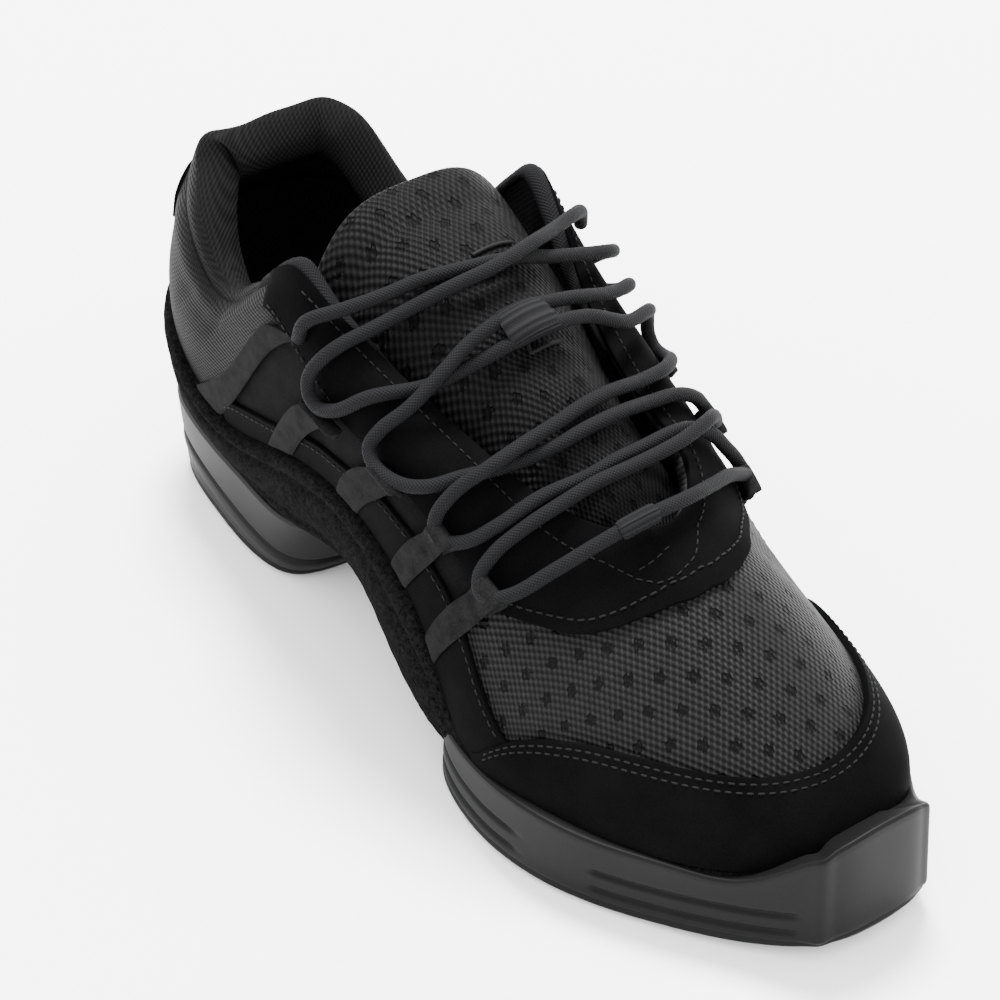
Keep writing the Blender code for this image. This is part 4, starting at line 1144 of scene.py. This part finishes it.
def build_all_stitches(finishes):
    """Stitch rows along the toe cap, the vamp's edge, the throat and the side bands."""
    thread = finishes["thread"]
    on_cap, on_saddle = CAP_LIFT - 0.08 * MM, SADDLE_LIFT + 0.05 * MM

    def run(first, last, share):
        u = np.linspace(first, last, 600)
        return u, share(u)

    def beside(edge, gap):
        return lambda u: edge_share(edge, u) + gap

    def along_table(table):
        stations, shares = np.array(table).T
        return run(stations[0], stations[-1], lambda u: np.interp(u, stations, shares))

    cap, saddle = CAP_EDGE[1][0], SADDLE_EDGE[0][0] + 0.04
    build_stitches("toe_cap_stitches", [run(cap, TURN - cap, beside(CAP_EDGE, gap)) for gap in (-0.020, -0.045)],
                   on_cap, 2.4 * MM, thread, 0.25 * MM)
    build_stitches("vamp_stitches", [run(7.0, TURN - 7.0, beside(SADDLE_EDGE, 0.04))], on_saddle, 2.5 * MM, thread)
    build_stitches("throat_stitches", [along_table(THROAT_LINE), along_table(THROAT_TAIL),
                                       run(saddle, 4.9, beside(SADDLE_EDGE, 0.03)),
                                       run(TURN - 4.9, TURN - saddle, beside(SADDLE_EDGE, 0.03))],
                   on_saddle, 2.4 * MM, thread, 0.22 * MM)
    for side, ends in (("lateral", (3.0, 7.95)), ("medial", (TURN - 7.95, TURN - 3.0))):
        build_stitches("band_stitches_" + side, [run(*ends, beside(BAND_EDGE, -0.022))], on_saddle,
                       2.6 * MM, thread, 0.2 * MM)


# stage

CAMERA = (0.5958, -0.3564, 0.5338)
LENS = 116.0
ROLL = -1.28


def build_camera(lo, hi):
    """The photograph's viewpoint, closer in on one shoe."""
    camera = bpy.data.objects.new("camera", bpy.data.cameras.new("camera"))
    bpy.context.scene.collection.objects.link(camera)
    bpy.context.scene.camera = camera
    camera.data.sensor_width = 36.0
    camera.data.lens = LENS
    camera.location = CAMERA
    aim = Vector(((lo.x + hi.x) / 2 - 0.008, 0.0, 0.040)) - camera.location
    camera.rotation_mode = "QUATERNION"
    turn = Matrix.Rotation(math.radians(ROLL), 4, "Z")
    camera.rotation_quaternion = (aim.to_track_quat("-Z", "Y").to_matrix().to_4x4() @ turn).to_quaternion()
    camera.data.clip_start, camera.data.clip_end = 0.01, 50.0


def area_light(name, place, target, size, power):
    lamp = bpy.data.lights.new(name, "AREA")
    lamp.shape = "DISK"
    lamp.size = size
    lamp.energy = power
    made = bpy.data.objects.new(name, lamp)
    bpy.context.scene.collection.objects.link(made)
    made.location = place
    made.rotation_mode = "QUATERNION"
    made.rotation_quaternion = (Vector(target) - made.location).to_track_quat("-Z", "Y")
    return made


def build_light():
    """White studio: bright sky all round, a soft key behind the shoe and a white sheet under it."""
    world = bpy.data.worlds.new("studio")
    bpy.context.scene.world = world
    world.use_nodes = True
    sky = world.node_tree.nodes["Background"]
    sky.inputs["Color"].default_value = linear(PAPER)
    sky.inputs["Strength"].default_value = 3.4
    area_light("key", (-0.6, 0.5, 1.9), (0.08, 0.0, 0.04), 0.7, 175.0)
    area_light("front", (1.2, 0.2, 0.9), (0.08, 0.0, 0.03), 0.8, 3.0)
    floor = bpy.data.meshes.new("floor")
    shape = bmesh.new()
    bmesh.ops.create_grid(shape, x_segments=1, y_segments=1, size=12.0)
    shape.to_mesh(floor)
    shape.free()
    paper = material("white_sheet", PAPER, 0.9)
    floor.materials.append(paper)
    sheet = bpy.data.objects.new("floor", floor)
    bpy.context.scene.collection.objects.link(sheet)


def finish_cad_nodes(frame, finishes):
    """The insole keeps its CAD solid and takes the lining's finish."""
    insole = frame["nodes"]["insole"]
    insole.data.materials.clear()
    insole.data.materials.append(finishes["lining"])


def main():
    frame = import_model()
    lo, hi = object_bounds()
    finishes = make_finishes()
    build_upper(finishes)
    build_collar(finishes)
    build_tongue(finishes)
    build_wrap(finishes)
    build_forefoot_unit(finishes)
    build_heel_unit(finishes)
    build_overlays(finishes)
    build_rims(finishes)
    for side in ("lateral", "medial"):
        build_strap("rear_strap", side, REAR_STRAP, finishes, False)
        for number, tab in enumerate(TABS[side], start=1):
            build_strap("lace_tab_%d" % number, side, tab, finishes, True)
    build_lace(finishes)
    for name, stretches in KEEPERS.items():
        build_keeper(name, stretches, finishes)
    build_all_stitches(finishes)
    build_bar_tacks(finishes)
    finish_cad_nodes(frame, finishes)
    build_camera(lo, hi)
    build_light()


main()
